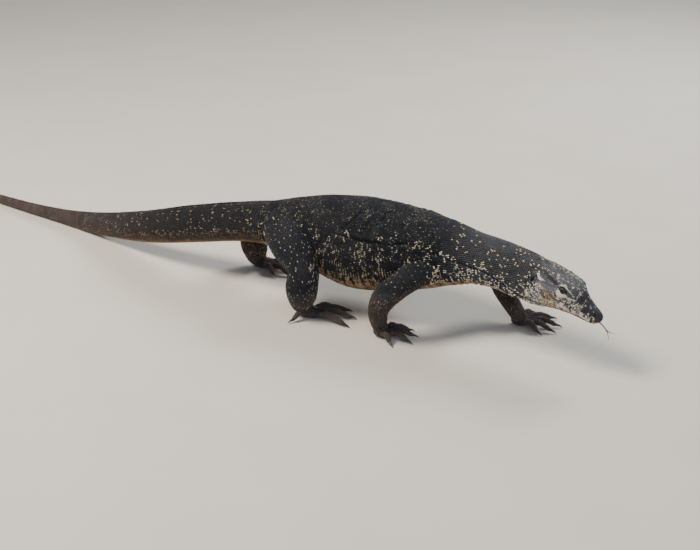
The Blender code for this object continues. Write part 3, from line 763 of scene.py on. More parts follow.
class Skin:
    """One hide over the whole animal, shaped as a sculptor would: grooves, ridges and dents."""

    VOXEL = 1.05 * MM
    RINGS = 700
    SIDES = 72

    def __init__(self, head: HeadFrame, body: BodyForm, legs: list[LegForm]) -> None:
        """Keeps the forms that the skin is stretched over."""
        self.head = head
        self.body = body
        self.legs = legs
        self.bare: list[tuple[Array, float]] = []
        # Balls where the skin is painted dark as shade in its hollows: the mouth line, ear rim and nostril.
        self.dark: list[tuple[Array, float]] = []
        self.drums: list[tuple[Array, float]] = []
        self.piece = self.stretch()
        self.tree = tree_of(self.piece)
        self.points = points_of(self.piece)
        self.normals = normals_of(self.piece)
        self.moved = np.zeros_like(self.points)

    def stretch(self) -> Object:
        """Joins every form's shell into one closed skin and softens where they meet.

        Returns:
            The skin's object.
        """
        body = self.body.shell(0, self.body.knots[-1], self.RINGS, self.SIDES, COAT_DEPTH)
        shells = [new_piece("body", *body)]
        for form in self.legs:
            shells.append(new_piece("leg", *form.shell(0, 5, 90, 32, COAT_DEPTH)))
            for toe in form.leg.toes:
                tube = form.toe(toe)
                shells.append(new_piece("toe", *tube.shell(0, 4, 24, 16, COAT_DEPTH * 0.8)))
            centre, (length, width, height) = form.palm()
            palm = primitive(bpy.ops.mesh.primitive_uv_sphere_add, segments=40, ring_count=24, radius=1)
            turn = Matrix.Rotation(math.radians(form.leg.heading), 4, "Z")
            radii = [r - COAT_DEPTH for r in (length, width, height)]
            palm.data.transform(Matrix.Translation(centre) @ turn @ Matrix.Diagonal((*radii, 1)))
            shells.append(palm)
        skin = merged(shells)
        skin.name = skin.data.name = "skin"
        apply_modifier(skin, "REMESH", mode="VOXEL", voxel_size=self.VOXEL)
        joins = skin.vertex_groups.new(name="joins")
        points = points_of(skin)
        weight = np.zeros(len(points))
        for form in self.legs:
            for at, reach in ((1.0, 5.2 * CM), (3.0, 1.6 * CM), (4.3, 1.3 * CM)):
                away = np.linalg.norm(points - form.centre(np.array(at)), axis=1)
                weight = np.maximum(weight, 1 - ramp(away, reach * 0.6, reach))
        for index in np.flatnonzero(weight > 0.02):
            joins.add([int(index)], float(weight[index]), "REPLACE")
        apply_modifier(skin, "SMOOTH", factor=0.5, iterations=40, vertex_group="joins")
        apply_modifier(skin, "SMOOTH", factor=0.5, iterations=5)
        skin.vertex_groups.clear()
        points = points_of(skin)
        points[:, 2] = np.maximum(points[:, 2], COAT_DEPTH)
        set_points(skin, points)
        skin.data.shade_smooth()
        return skin

    def on_side(self, along: float, above: float, side: int) -> Array:
        """The head's skin at a place seen square from its side."""
        start = self.head.place(along, 6 * side, above)
        hit = self.tree.ray_cast(Vector(start), Vector(self.head.left * -side))[0]
        return np.array(hit if hit is not None else self.head.place(along, 0, above))

    def nearest(self, point: Array) -> Array:
        """The skin's place nearest to a point."""
        return np.array(self.tree.find_nearest(Vector(point))[0])

    def near(self, path: Array, reach: float) -> tuple[Array, Array, Array]:
        """The skin's points within reach of a path.

        Args:
            path: The path's points.
            reach: How far to look.

        Returns:
            Their indices, their distances, and how full the path is there: 1, but 0 at its two ends.
        """
        low, high = path.min(0) - reach, path.max(0) + reach
        index = np.flatnonzero(((self.points > low) & (self.points < high)).all(1))
        gap, place = np.full(len(index), np.inf), np.zeros(len(index))
        for number, (a, b) in enumerate(zip(path[:-1], path[1:])):
            run = b - a
            share = np.clip(((self.points[index] - a) @ run) / max(run @ run, 1e-12), 0, 1)
            away = np.linalg.norm(self.points[index] - a - share[:, None] * run, axis=1)
            place = np.where(away < gap, (number + share) / (len(path) - 1), place)
            gap = np.minimum(gap, away)
        close = gap < reach
        full = ramp(np.minimum(place, 1 - place)[close], 0.0, 0.18)
        return index[close], gap[close], full

    def groove(self, path: Array, depth: float, width: float, lip: float = 0.3) -> None:
        """Presses a crease along a path, with a soft roll on each side of it.

        Args:
            path: Its points, near the skin.
            depth: How deep.
            width: How wide its floor is.
            lip: The rolls' height as a share of the depth.
        """
        index, gap, full = self.near(path, width * 5)
        shape = lip * peak(gap, 2.3 * width, width) - peak(gap, 0, width)
        self.moved[index] += self.normals[index] * (shape * depth * full)[:, None]

    def ridge(self, path: Array, height: float, width: float) -> None:
        """Raises a soft ridge along a path."""
        index, gap, _ = self.near(path, width * 3)
        self.moved[index] += self.normals[index] * (height * peak(gap, 0, width))[:, None]

    def dent(self, centre: Array, axes: Array, radii: tuple[float, float], depth: float) -> None:
        """Presses a steep-edged hollow.

        Args:
            centre: Its middle, on the skin.
            axes: The ways of its two axes across the skin.
            radii: Half its length along them.
            depth: How deep.
        """
        index = self.near(np.stack([centre, centre + axes[0] * 1e-5]), max(radii) * 1.8)[0]
        out = self.points[index] - centre
        across = np.hypot((out @ axes[0]) / radii[0], (out @ axes[1]) / radii[1])
        inward = np.cross(axes[0], axes[1])
        inward *= -np.sign((self.normals[index] @ inward).sum())
        self.moved[index] += inward * (depth * (1 - ramp(across, 0.72, 1.12)))[:, None]

    def settle(self) -> None:
        """Moves the points as the grooves, ridges and dents say."""
        self.points = self.points + self.moved
        self.points[:, 2] = np.maximum(self.points[:, 2], COAT_DEPTH)
        set_points(self.piece, self.points)
        self.moved = np.zeros_like(self.points)
        self.normals = normals_of(self.piece)

    def line(self, fold: Fold, side: int) -> Array:
        """Points of a fold on the skin.

        Args:
            fold: Its places.
            side: +1 for the left.

        Returns:
            The points.
        """
        at = [self.body.named[name] + more * CM for name, more, _ in fold]
        turn = [math.radians(degrees) * side for *_, degrees in fold]
        steps = np.linspace(0, len(fold) - 1, 6 * len(fold))
        known = np.arange(len(fold))
        return self.body.surface(np.interp(steps, known, at), np.interp(steps, known, turn), COAT_DEPTH)

    def carve(self) -> None:
        """Shapes the head, the muscles, the folds, the creases at the joints and the knuckles."""
        for side in (1, -1):
            self.carve_head(side)
            for muscle, height, width in MUSCLES:
                self.ridge(self.line(muscle, side), height * MM, width * MM)
            for folds, depth, width, lip in FOLDS:
                for fold in folds:
                    self.groove(self.line(fold, side), depth * MM, width * MM, lip)
        for form in self.legs:
            self.carve_leg(form)
        self.settle()
        self.tree = tree_of(self.piece)

    def carve_leg(self, form: LegForm) -> None:
        """Creases in the bends of a leg, and knuckles along its toes."""
        for joint in (2, 4):
            bend = form.centre(np.array(joint))
            beside = (form.centre(np.array(joint - 0.8)) + form.centre(np.array(joint + 0.8))) / 2
            for at in (joint - 0.17, joint, joint + 0.17):
                turns = np.linspace(0, math.tau, 49)
                ring = form.surface(np.full(49, at), turns, COAT_DEPTH)
                inner = turns[np.argmax((ring - form.centre(np.array(at))) @ (beside - bend))]
                arc = form.surface(np.full(15, at), inner + np.linspace(-1.3, 1.3, 15), COAT_DEPTH)
                self.groove(arc, 1.4 * MM, 1.7 * MM, 0.5)
        for toe in form.leg.toes:
            tube = form.toe(toe)
            for at in (1.25, 2.15, 3.1):
                over = tube.surface(np.full(9, at), np.linspace(-1.7, 1.7, 9), COAT_DEPTH)
                self.groove(over, 0.6 * MM, 0.9 * MM, 0.45)

    def carve_head(self, side: int) -> None:
        """The brow, eye socket, ear, nostril and lip of one side.

        Args:
            side: +1 for the left.
        """
        for places, height, width in HEAD_RELIEF:
            path = np.array([self.nearest(self.head.place(a, o * side, h)) for a, o, h in places])
            self.ridge(path, height * MM, width * MM)
        mouth = self.mouth_line(side)
        self.groove(mouth, 1.5 * MM, 0.8 * MM, 0.3)
        self.bare += [(point, 0.6 * MM) for point in mouth]
        self.dark += [(point, 1.1 * MM) for point in mouth]
        ear = self.on_side(EAR[0], EAR[2], side)
        tall, wide = self.head.ear_axes()
        self.dent(ear, np.stack([tall, wide]), (6.0 * MM, 2.4 * MM), 2.6 * MM)
        self.bare += [(ear + tall * k * MM, 2.3 * MM) for k in (-3.6, -1.8, 0, 1.8, 3.6)]
        self.drums += [(ear + tall * k * MM, 1.9 * MM) for k in (-3, -1.5, 0, 1.5, 3)]
        rim = ear - self.head.forward * 1.4 * MM
        self.dark += [(rim + tall * k * MM, 1.7 * MM) for k in (-4, -2, 0, 2, 4)]
        nostril = self.on_side(NOSTRIL[0], NOSTRIL[2], side)
        self.dent(nostril, np.stack([self.head.forward, self.head.up]), (2.3 * MM, 1.6 * MM), 2.6 * MM)
        self.bare.append((nostril, 2.0 * MM))
        self.dark.append((nostril, 2.4 * MM))
        eye = self.head.place(EYE[0], EYE[1] * side, EYE[2])
        index, gap, _ = self.near(np.stack([eye, eye + 1e-5]), 11 * MM)
        inside = (1 - ramp(gap, 5.0 * MM, 6.6 * MM)) * 1.5 * MM
        around = peak(gap, 8.2 * MM, 1.5 * MM) * 0.5 * MM
        self.moved[index] += self.normals[index] * (around - inside)[:, None]
        self.bare.append((eye, EYE_RADIUS + 1.5 * MM))

    def mouth_line(self, side: int) -> Array:
        """Points of the lips' meeting line on one side, from its corner to the middle of the snout."""
        (corner, low), (front, front_low) = MOUTH_CORNER, MOUTH_FRONT
        share = np.linspace(0, (10.3 - corner) / (front - corner), 30)
        height = low + (front_low - low) * share - MOUTH_DIP * np.sin(math.pi * share)
        line = [self.on_side(corner + (front - corner) * s, h, side) for s, h in zip(share, height)]
        return np.array([*line, self.nearest(self.head.place(10.6, 0, front_low))])

    def is_bare(self, points: Array) -> Array:
        """True at points where no scale grows."""
        return inside_any(points, self.bare)


def inside_any(points: Array, balls: list[tuple[Array, float]]) -> Array:
    """True at points that lie in any of the balls, each a centre and a radius."""
    found = np.zeros(len(points), bool)
    for centre, radius in balls:
        found |= ((points - centre) ** 2).sum(1) < radius**2
    return found


# ---- the scales


class ScaleKind(Enum):
    """A scale's length, width and height as shares of its pitch, its crest's place, and its sides."""

    BEAD = (1.12, 0.90, 0.32, 0.12, 6)
    GRANULE = (0.96, 0.96, 0.30, 0.0, 6)
    KEELED = (1.25, 0.88, 0.36, 0.25, 6)
    PLATE = (1.02, 1.00, 0.20, 0.05, 6)
    SHIELD = (0.98, 0.97, 0.22, 0.05, 4)
    WHORL = (1.55, 0.90, 0.36, 0.40, 4)
    TOOTH = (1.35, 0.60, 0.60, 0.30, 4)


@dataclass
class Roots:
    """Where a region's scales stand on the skin.

    Args:
        place: Their roots.
        normal: The way the skin faces there.
        lie: The way they point, along the skin.
        pitch: The distance from one to the next.
        along: How far along the region, in metres.
        turn: Degrees round it from the top, positive to the left.
        row: Which ring each is in.
        column: Which it is in its ring.
        span: How much longer each is than its kind, where the rings fan out or crowd.
        kind: Their shape.
        stretch: How much wider than long.
    """

    ARRAYS: ClassVar = ("place", "normal", "lie", "pitch", "along", "turn", "row", "column", "span")
    place: Array
    normal: Array
    lie: Array
    pitch: Array
    along: Array
    turn: Array
    row: Array
    column: Array
    span: Array
    kind: ScaleKind = ScaleKind.BEAD
    stretch: float = 1.0
    marks: Array = field(default_factory=lambda: np.zeros((0, 4)))

    def __len__(self) -> int:
        """How many scales there are."""
        return len(self.place)

    def only(self, wanted: Array) -> "Roots":
        """The scales that are wanted."""
        kept = {name: getattr(self, name)[wanted] for name in self.ARRAYS}
        marks = self.marks[wanted] if len(self.marks) else self.marks
        return Roots(**kept, kind=self.kind, stretch=self.stretch, marks=marks)


class Coat:
    """Plants scales on the skin, ring by ring, and keeps them clear of one another."""

    ROW_STEP = 0.87  # of the pitch, from one staggered row to the next
    STRAY = 0.05  # of the pitch, how far a scale stands out of line
    FEWEST = 5  # scales in a ring
    FAN = (0.8, 1.9)  # the least and most that scales lengthen, where rings crowd or fan out
    CELL = 4 * MM  # side of the cubes in which filling scales look for one another
    FILL_GAP = 0.70  # of a scale's pitch: skin further from it than this is bare
    FILL_SIZE = 0.8  # of the scales beside it, a filling scale's size
    FILL_LARGEST = 3 * MM
    FILL_SPACE = 0.85  # of its size, from one filling scale to the next
    FILL_SPREAD = 1.3  # how much it then grows

    def __init__(self, skin: Skin) -> None:
        """Starts with a bare skin."""
        self.skin = skin
        self.planted: list[Roots] = []

    def rings(
        self,
        tube: Tube,
        start: float,
        end: float,
        pitch_at: tuple[list[float], list[float]],
        kind: ScaleKind,
        long: float = 1.0,
    ) -> Roots:
        """Rings of staggered scales round a tube, before they meet the skin.

        Args:
            tube: The flesh they go round.
            start: Where the first ring is.
            end: Where the last ring is.
            pitch_at: Places along the tube, and the scales' pitch in mm there.
            kind: The scales' shape.
            long: How much further apart the rings are than usual.

        Returns:
            The scales' roots on the tube's own surface.
        """
        fine = np.linspace(start, end, 1500)
        length = walked(tube.centre(fine))
        pitch = np.interp(fine, *pitch_at) * MM
        step = pitch * self.ROW_STEP * long
        count = np.concatenate([[0], np.cumsum(np.diff(length) / step[1:])])
        places = np.interp(np.arange(0.5, count[-1]), count, fine)
        dense = np.linspace(0, math.tau, 241)
        outlines = tube.surface(places[:, None], dense[None, :])
        found = []
        for row, (at, outline) in enumerate(zip(places, outlines)):
            around = walked(outline)
            total = max(self.FEWEST, round(around[-1] / np.interp(at, fine, pitch)))
            column = np.arange(total)
            turn = np.interp((column + 0.5 * (row % 2)) / total * around[-1], around, dense)
            same = (np.full(total, value) for value in (at, row, around[-1] / total))
            found.append((turn, column, *same))
        turn, column, at, row, pitch = (np.concatenate(part) for part in zip(*found))
        stray = default_rng(len(at)).normal(0, self.STRAY, (2, len(at)))
        turn = turn + stray[0] * (math.tau / np.bincount(row)[row])
        place = tube.surface(at, turn) + tube.axes(at)[0] * (stray[1] * pitch)[:, None]
        forward = tube.axes(at)[0]
        degrees = np.degrees(np.where(turn > math.pi, turn - math.tau, turn))
        along = np.interp(at, fine, length)
        half = np.gradient(places)[row] / 2
        ahead, behind = (np.clip(at + way * half, 0, tube.knots[-1]) for way in (1, -1))
        fan = np.linalg.norm(tube.surface(ahead, turn) - tube.surface(behind, turn), axis=1)
        span = np.clip(fan / (pitch * self.ROW_STEP * long), *self.FAN)
        return Roots(place, forward, -forward, pitch, along, degrees, row, column, span, kind)

    def plant(self, roots: Roots, reach: float = 3.5 * MM, clear: float = 0.74) -> Roots:
        """Sets scales on the skin and drops those off it, on a bare place or too near another.

        Args:
            roots: Where they would stand.
            reach: How far each may be from the skin.
            clear: The least distance to a scale planted before, as a share of the pitch.

        Returns:
            The scales that took.
        """
        find = self.skin.tree.find_nearest
        hits = [find(p) for p in roots.place]
        roots.place = np.array([tuple(h[0]) for h in hits])
        roots.normal = np.array([tuple(h[1]) for h in hits])
        keep = np.array([h[3] for h in hits]) < reach
        keep &= ~self.skin.is_bare(roots.place)
        if self.planted:
            tree = grown(np.concatenate([r.place for r in self.planted]))
            gap = np.array([tree.find(p)[2] if k else 0 for p, k in zip(roots.place, keep)])
            keep &= gap > roots.pitch * clear
        lie = flattened(roots.lie, roots.normal)
        keep &= np.linalg.norm(lie, axis=1) > 0.05
        roots.lie = unit(lie)
        kept = roots.only(keep)
        self.planted.append(kept)
        return kept

    def loose(
        self, places: Array, lie: Array, pitch: float, kind: ScaleKind, stretch: float = 1.0
    ) -> Roots:
        """Plants scales at chosen places.

        Args:
            places: Where, near the skin.
            lie: The way they point.
            pitch: Their size.
            kind: Their shape.
            stretch: How much wider than long.

        Returns:
            The scales that took.
        """
        along, turn = self.skin.body.where(places)
        order, even = np.arange(len(places)), np.ones(len(places))
        flat = np.zeros_like(places)
        roots = Roots(places, flat, lie, even * pitch, along, turn, order, order, even, kind, stretch)
        return self.plant(roots, 4 * MM, 0.62)

    def fill(self, pitch: float, kind: ScaleKind, seed: int) -> Roots:
        """Plants small scales where the rings left skin bare, as in folds, at toe tips and on the snout.

        Args:
            pitch: The least size of a gap that is filled, in metres.
            kind: The scales' shape.
            seed: The order they are tried in.

        Returns:
            The scales that took.
        """
        parts = ([getattr(r, name) for r in self.planted] for name in ("place", "pitch", "lie"))
        planted, sizes, lies = (np.concatenate(part) for part in parts)
        tree = grown(planted)
        points, normals = self.skin.points, self.skin.normals
        index = default_rng(seed).permutation(len(points))
        index = index[~self.skin.is_bare(points[index])]
        chosen = []
        cells: dict[tuple[int, int, int], list[int]] = {}
        for i in index:
            point = points[i]
            _, near, gap = tree.find(point)
            if gap < max(pitch, sizes[near]) * self.FILL_GAP:
                continue
            size = max(pitch, self.FILL_SIZE * min(sizes[near], self.FILL_LARGEST))
            x, y, z = (point // self.CELL).astype(int)
            beside = (cells.get((x + a - 1, y + b - 1, z + c - 1), []) for a, b, c in np.ndindex(3, 3, 3))
            near_square = (size * self.FILL_SPACE) ** 2
            if any(((points[j] - point) ** 2).sum() < near_square for cell in beside for j in cell):
                continue
            cells.setdefault((x, y, z), []).append(i)
            chosen.append((i, near, size))
        picked, near, size = (np.array(part) for part in zip(*chosen))
        place, normal = points[picked], normals[picked]
        lie = unit(flattened(lies[near], normal))
        order, none = np.arange(len(picked)), np.zeros(len(picked))
        made = Roots(place, normal, lie, size * self.FILL_SPREAD, none, none, order, order, none + 1, kind)
        self.planted.append(made)
        return made


class ScaleForm:
    """One scale, modelled once for each number of sides and copied to every root."""

    SHOULDER = 0.76  # width of its top, as a share of its base
    RIM = 0.62  # height of its shoulder, where its crest is 1
    SUNK = -0.45  # height of its base
    VARY = 0.07  # spread in size from one scale to the next

    def __init__(self, sides: int) -> None:
        """Models the scale: a sunk base, a shoulder and a short crest.

        Args:
            sides: Points round its edge.
        """
        edit = bpy.ops.mesh
        piece = primitive(edit.primitive_circle_add, vertices=sides, radius=0.5, fill_type="NGON")
        bpy.ops.object.mode_set(mode="EDIT")
        edit.select_all(action="SELECT")
        if sides == 4:
            bpy.ops.transform.rotate(value=math.pi / 4, orient_axis="Z", center_override=(0, 0, 0))
            bpy.ops.transform.resize(value=(1.3, 1.3, 1))
        edit.extrude_region_move(TRANSFORM_OT_translate={"value": (0, 0, 1)})
        bpy.ops.transform.resize(value=(self.SHOULDER, self.SHOULDER, 1))
        edit.poke(offset=0)
        bpy.ops.object.mode_set(mode="OBJECT")
        mesh_data = bmesh.new()
        mesh_data.from_mesh(piece.data)
        bmesh.ops.recalc_face_normals(mesh_data, faces=mesh_data.faces)
        bmesh.ops.triangulate(mesh_data, faces=mesh_data.faces)
        mesh_data.verts.ensure_lookup_table()
        self.points = np.array([tuple(v.co) for v in mesh_data.verts])
        self.faces = np.array([[v.index for v in f.verts] for f in mesh_data.faces])
        mesh_data.free()
        bpy.data.objects.remove(piece, do_unlink=True)
        top = self.points[:, 2] > 0.5
        middle = top & (np.hypot(self.points[:, 0], self.points[:, 1]) < 0.1)
        self.points[:, 2] = np.where(top, self.RIM, self.SUNK)
        self.points[middle, 2] = 1.0
        self.crown = np.where(middle, 1.0, np.where(top, 0.75, 0.0))
        self.middle = middle

    def copies(self, roots: Roots, seed: int) -> tuple[Array, Array]:
        """Every copy's points and faces.

        Args:
            roots: Where they stand.
            seed: For the small differences between them.

        Returns:
            Points of shape (scales, points, 3) and faces as rows of three.
        """
        long, wide, high, crest, _ = roots.kind.value
        count = len(roots)
        vary = default_rng(seed).normal(1, self.VARY, (count, 3))
        local = np.broadcast_to(self.points, (count, *self.points.shape)).copy()
        local[:, self.middle, 0] += crest
        local[..., 0] *= (roots.pitch * roots.span)[:, None] * long / roots.stretch ** 0.5 * vary[:, :1]
        local[..., 1] *= roots.pitch[:, None] * wide * roots.stretch ** 0.5 * vary[:, 1:2]
        local[..., 2] *= roots.pitch[:, None] * high * vary[:, 2:]
        if roots.kind is not ScaleKind.TOOTH:
            local[..., 2] = np.minimum(local[..., 2], COAT_DEPTH)
        across = np.cross(roots.normal, roots.lie)
        points = (
            roots.place[:, None, :]
            + local[..., 0:1] * roots.lie[:, None, :]
            + local[..., 1:2] * across[:, None, :]
            + local[..., 2:3] * roots.normal[:, None, :]
        )
        points[..., 2] = np.maximum(points[..., 2], 0.05 * MM)
        offset = np.arange(count)[:, None, None] * len(self.points)
        return points, (self.faces[None] + offset).reshape(-1, 3)


# ---- the markings


class Markings:
    """Where the hide is pale, how warm that is, how faded the dark is, and how light each scale is.

    Every function returns rows of pale, warm, fade and shade, each from 0 to 1.
    """

    BAND = 33 * MM  # from one cross-band of flecks to the next

    def __init__(self, body: BodyForm) -> None:
        """Keeps the body that the bands are measured along."""
        self.body = body
        self.fold_at = [body.named[name] + more * CM for name, more, _ in SIDE_FOLD]
        self.fold_turn = [degrees for *_, degrees in SIDE_FOLD]

    def rows(
        self, pale: Array, warm: Array, fade: Array, roots: Roots, seed: int, hue: float | Array = 0
    ) -> Array:
        """Puts a region's marks together with the difference between one scale and the next.

        Args:
            pale: How pale each scale is.
            warm: How warm the pale ones are.
            fade: How faded the dark ones are.
            roots: The scales.
            seed: The draw.
            hue: How warm the dark ones are.

        Returns:
            The marks.
        """
        warm = np.where(pale > 0.15, warm, hue)
        draw = default_rng(seed).standard_normal(len(roots))
        shade = 0.5 + 0.13 * draw + 0.45 * (noise(roots.place, 9 * MM, seed) - 0.5)
        marks = np.broadcast_arrays(pale, warm, fade, shade)
        return np.clip(np.stack(marks, 1), 0, 1)

    def gather(self, roots: Roots, size: float, share: float, seed: int) -> Array:
        """Where flecks gather: 1 inside patches of a size in mm that take a share of the hide."""
        return ramp(noise(roots.place, size * MM, seed), 0.78 - 0.5 * share - 0.07, 0.78 - 0.5 * share + 0.07)

    def mottle(self, roots: Roots) -> Array:
        """The white blotches of throat and cheeks, a few scales wide."""
        fine = noise(roots.place, 2.1 * MM, 33) + 0.35 * (noise(roots.place, 5 * MM, 10) - 0.5)
        return ramp(fine, 0.43, 0.52)

    def flecks(self, roots: Roots, chance: float | Array, seed: int, tall: int = 1) -> Array:
        """Picks scales at random, one by one or in upright dashes.

        Args:
            roots: The scales.
            chance: How likely each is.
            seed: The draw.
            tall: How many neighbours round the ring go together.

        Returns:
            How pale each is.
        """
        draw = default_rng(seed).random((4096, 512))
        group = (roots.column + roots.row * 5) // tall
        picked = draw[roots.row % 4096, group % 512] < chance
        return picked * default_rng(seed + 1).uniform(0.5, 1.0, len(roots))

    def rosettes(self, roots: Roots, arc: Array, radius: float, seed: int) -> Array:
        """Broken rings of single pale scales in cross-bands.

        Args:
            roots: The scales.
            arc: How far round the body from the top each is, in metres.
            radius: Of a ring.
            seed: The draw.

        Returns:
            How pale each is.
        """
        space = 29 * MM
        band = np.floor(roots.along / self.BAND).astype(int)
        column = np.floor(arc / space + 0.5 * (band % 2)).astype(int)
        draw = default_rng(seed).random((4, 257, 129))
        shift = draw[:, band % 257, (column + 64) % 129]
        middle_along = (band + 0.5) * self.BAND + (shift[0] - 0.5) * 12 * MM
        middle_arc = (column + 0.5 - 0.5 * (band % 2)) * space + (shift[1] - 0.5) * 10 * MM
        gap = np.hypot((roots.along - middle_along) * 1.15, (arc - middle_arc) * 0.85)
        ring = np.abs(gap - radius * (0.6 + 0.8 * shift[2])) < 0.55 * roots.pitch
        broken = default_rng(seed + 2).random(len(roots)) < 0.15 + 0.30 * shift[3]
        return ring * broken * default_rng(seed + 3).uniform(0.5, 1.0, len(roots))

    def trunk(self, roots: Roots) -> Array:
        """Charcoal with faint rosettes above, upright dashes on the flank, and a buff belly in prongs."""
        angle, along = np.abs(roots.turn), roots.along
        fold_at = self.fold_at
        wave = noise(roots.place, 7 * MM, 5) - 0.5
        low = angle + 7 * np.cos(math.tau * along / (11.5 * MM)) + 34 * wave
        thick = self.gather(roots, 12, 0.45, 6)
        speck = self.flecks(roots, 0.10 + 0.12 * thick, 11) * 0.36
        flank = ramp(angle, 44, 62) * ramp(-angle, -118, -108)
        front = ramp(along + 12 * MM * wave, fold_at[5] - 1 * CM, fold_at[7])
        under = angle - np.interp(along, fold_at, self.fold_turn)
        arm_pit = self.flecks(roots, 0.10 * front * ramp(under, -8, 4), 31, 2) * 0.8
        line = self.flecks(roots, 0.38 * front * peak(under, -6, 2.6), 40) * 0.85
        dash = self.flecks(roots, thick * (0.05 * flank + 0.14 * ramp(angle, 64, 84)), 12, 2) * 0.8
        dense = (0.25 + 0.75 * self.gather(roots, 9, 0.5, 7)) * (1 - 0.6 * front)
        tall = self.flecks(roots, (roots.row % 2 == 0) * dense * ramp(low, 84, 106), 13, 3)
        rosette = self.rosettes(roots, np.radians(roots.turn) * 70 * MM, 5.5 * MM, 14)
        rosette *= ramp(-angle, -88, -74) * (0.50 + 0.2 * flank)
        bars = ramp(np.cos(math.tau * along / (self.BAND * 0.5)) + 1.6 * wave, 0.5, 0.95)
        belly = ramp(low, 108, 126) * (0.60 - 0.42 * bars * ramp(-angle, -172, -120))
        pale = np.maximum.reduce([speck, dash * 0.85, tall * 0.56, rosette, arm_pit, line, belly])
        warm = 0.19 - 0.10 * front * ramp(under, -12, 5) + 0.12 * ramp(angle, 90, 108)
        warm += 0.35 * ramp(low, 118, 146)
        return self.rows(pale, warm, 0.04 * thick, roots, 21)

    def neck(self, roots: Roots) -> Array:
        """Slate beads above with few flecks, lightened towards the head as painted sunlight, pinkish white thick with
        dark specks under the fold, and painted shade along its crease.
        """
        angle, along, ears, fold_at = np.abs(roots.turn), roots.along, self.body.named["ears"], self.fold_at
        under = angle - np.interp(along, fold_at, self.fold_turn)
        thick = self.gather(roots, 10, 0.45, 8)
        speck = self.flecks(roots, 0.02 + 0.10 * thick * ramp(-angle, -110, -20), 15)
        rosette = self.rosettes(roots, np.radians(roots.turn) * 42 * MM, 4.5 * MM, 16) * ramp(under, -70, -50)
        wave = noise(roots.place, 6 * MM, 5) - 0.5
        joins = ramp(along + 2 * CM * wave, fold_at[7], fold_at[8] + 1.5 * CM)
        near = ramp(along, fold_at[11], ears - 1 * CM)
        blotch = self.mottle(roots) * self.flecks(roots, 0.42 + 0.42 * near, 36)
        blotch = np.minimum(blotch * (0.80 + 0.70 * near), 1)
        spread = np.interp(along, (fold_at[8], fold_at[11], ears), (7, 18, 46))
        edge = blotch * ramp(under + 20 * wave, -spread, -0.6 * spread) * joins
        line = self.flecks(roots, 0.7 * peak(under, -6, 2.6), 17)
        starts = np.interp(along, (fold_at[8], fold_at[10], fold_at[11]), (30, 14, 1))
        chance = 0.08 * ramp(under, 1, 8) + 0.18 * ramp(under, 0.6 * starts, starts)
        mottle = self.flecks(roots, chance, 18, 2)
        mottle = np.maximum(mottle, blotch * ramp(under + 14 * wave, starts - 3, starts + 2) * joins)
        bars = ramp(np.cos(math.tau * along / (15 * MM)) + 2.4 * wave, 0.5, 0.95)
        throat = ramp(angle, 126, 146) * (0.8 - 0.6 * bars)
        # Painted shade along the fold's crease: pale taken out and the scales darkened.
        crease = peak(under, 0, 2.0) * ramp(along, fold_at[6], fold_at[8])
        cream = np.maximum(speck, rosette * ramp(-under, 2, 8))
        pale = np.maximum.reduce([cream, edge, line, mottle, throat]) * (1 - crease)
        golden = ramp(angle, 128, 146) * (0.6 - 0.35 * ramp(along, fold_at[9], fold_at[11]))
        warm = np.maximum(np.where(cream >= pale, 0.27, 0.07), golden)
        # Painted sunlight: the nape lightens towards the head.
        fade = 0.24 * ramp(along, ears - 18 * CM, ears - 8 * CM)
        marks = self.rows(pale, warm, fade, roots, 22)
        marks[:, 3] *= 1 - 0.75 * crease
        return marks

    def tail(self, roots: Roots) -> Array:
        """Charcoal at its root, mauve brown towards its tip, with faint bands of flecks, warm below."""
        angle = np.abs(roots.turn)
        base = ramp(roots.along, 34 * CM, 66 * CM)
        wave = noise(roots.place, 8 * MM, 8) - 0.5
        band = ramp(np.cos(math.tau * roots.along / (24 * MM)) + wave, 0.1, 0.8)
        side = ramp(-angle, -150, -115)
        hatch = self.flecks(roots, 0.7 * base * ramp(angle, 88, 116), 35, 2) * 0.44
        fleck = np.maximum(self.flecks(roots, (0.03 + 0.10 * band) * side, 19) * (0.26 + 0.25 * base), hatch)
        under = ramp(angle + 24 * wave, 122, 144) * (0.2 + 0.38 * base)
        pale = np.maximum(fleck, under)
        warm = 0.26 + 0.10 * (1 - base) + 0.50 * base * ramp(angle, 88, 120)
        fade = 0.50 - 0.44 * ramp(roots.along, 28 * CM, 76 * CM) + 0.10 * band * (1 - base)
        return self.rows(pale, warm, fade, roots, 23, 1.0)

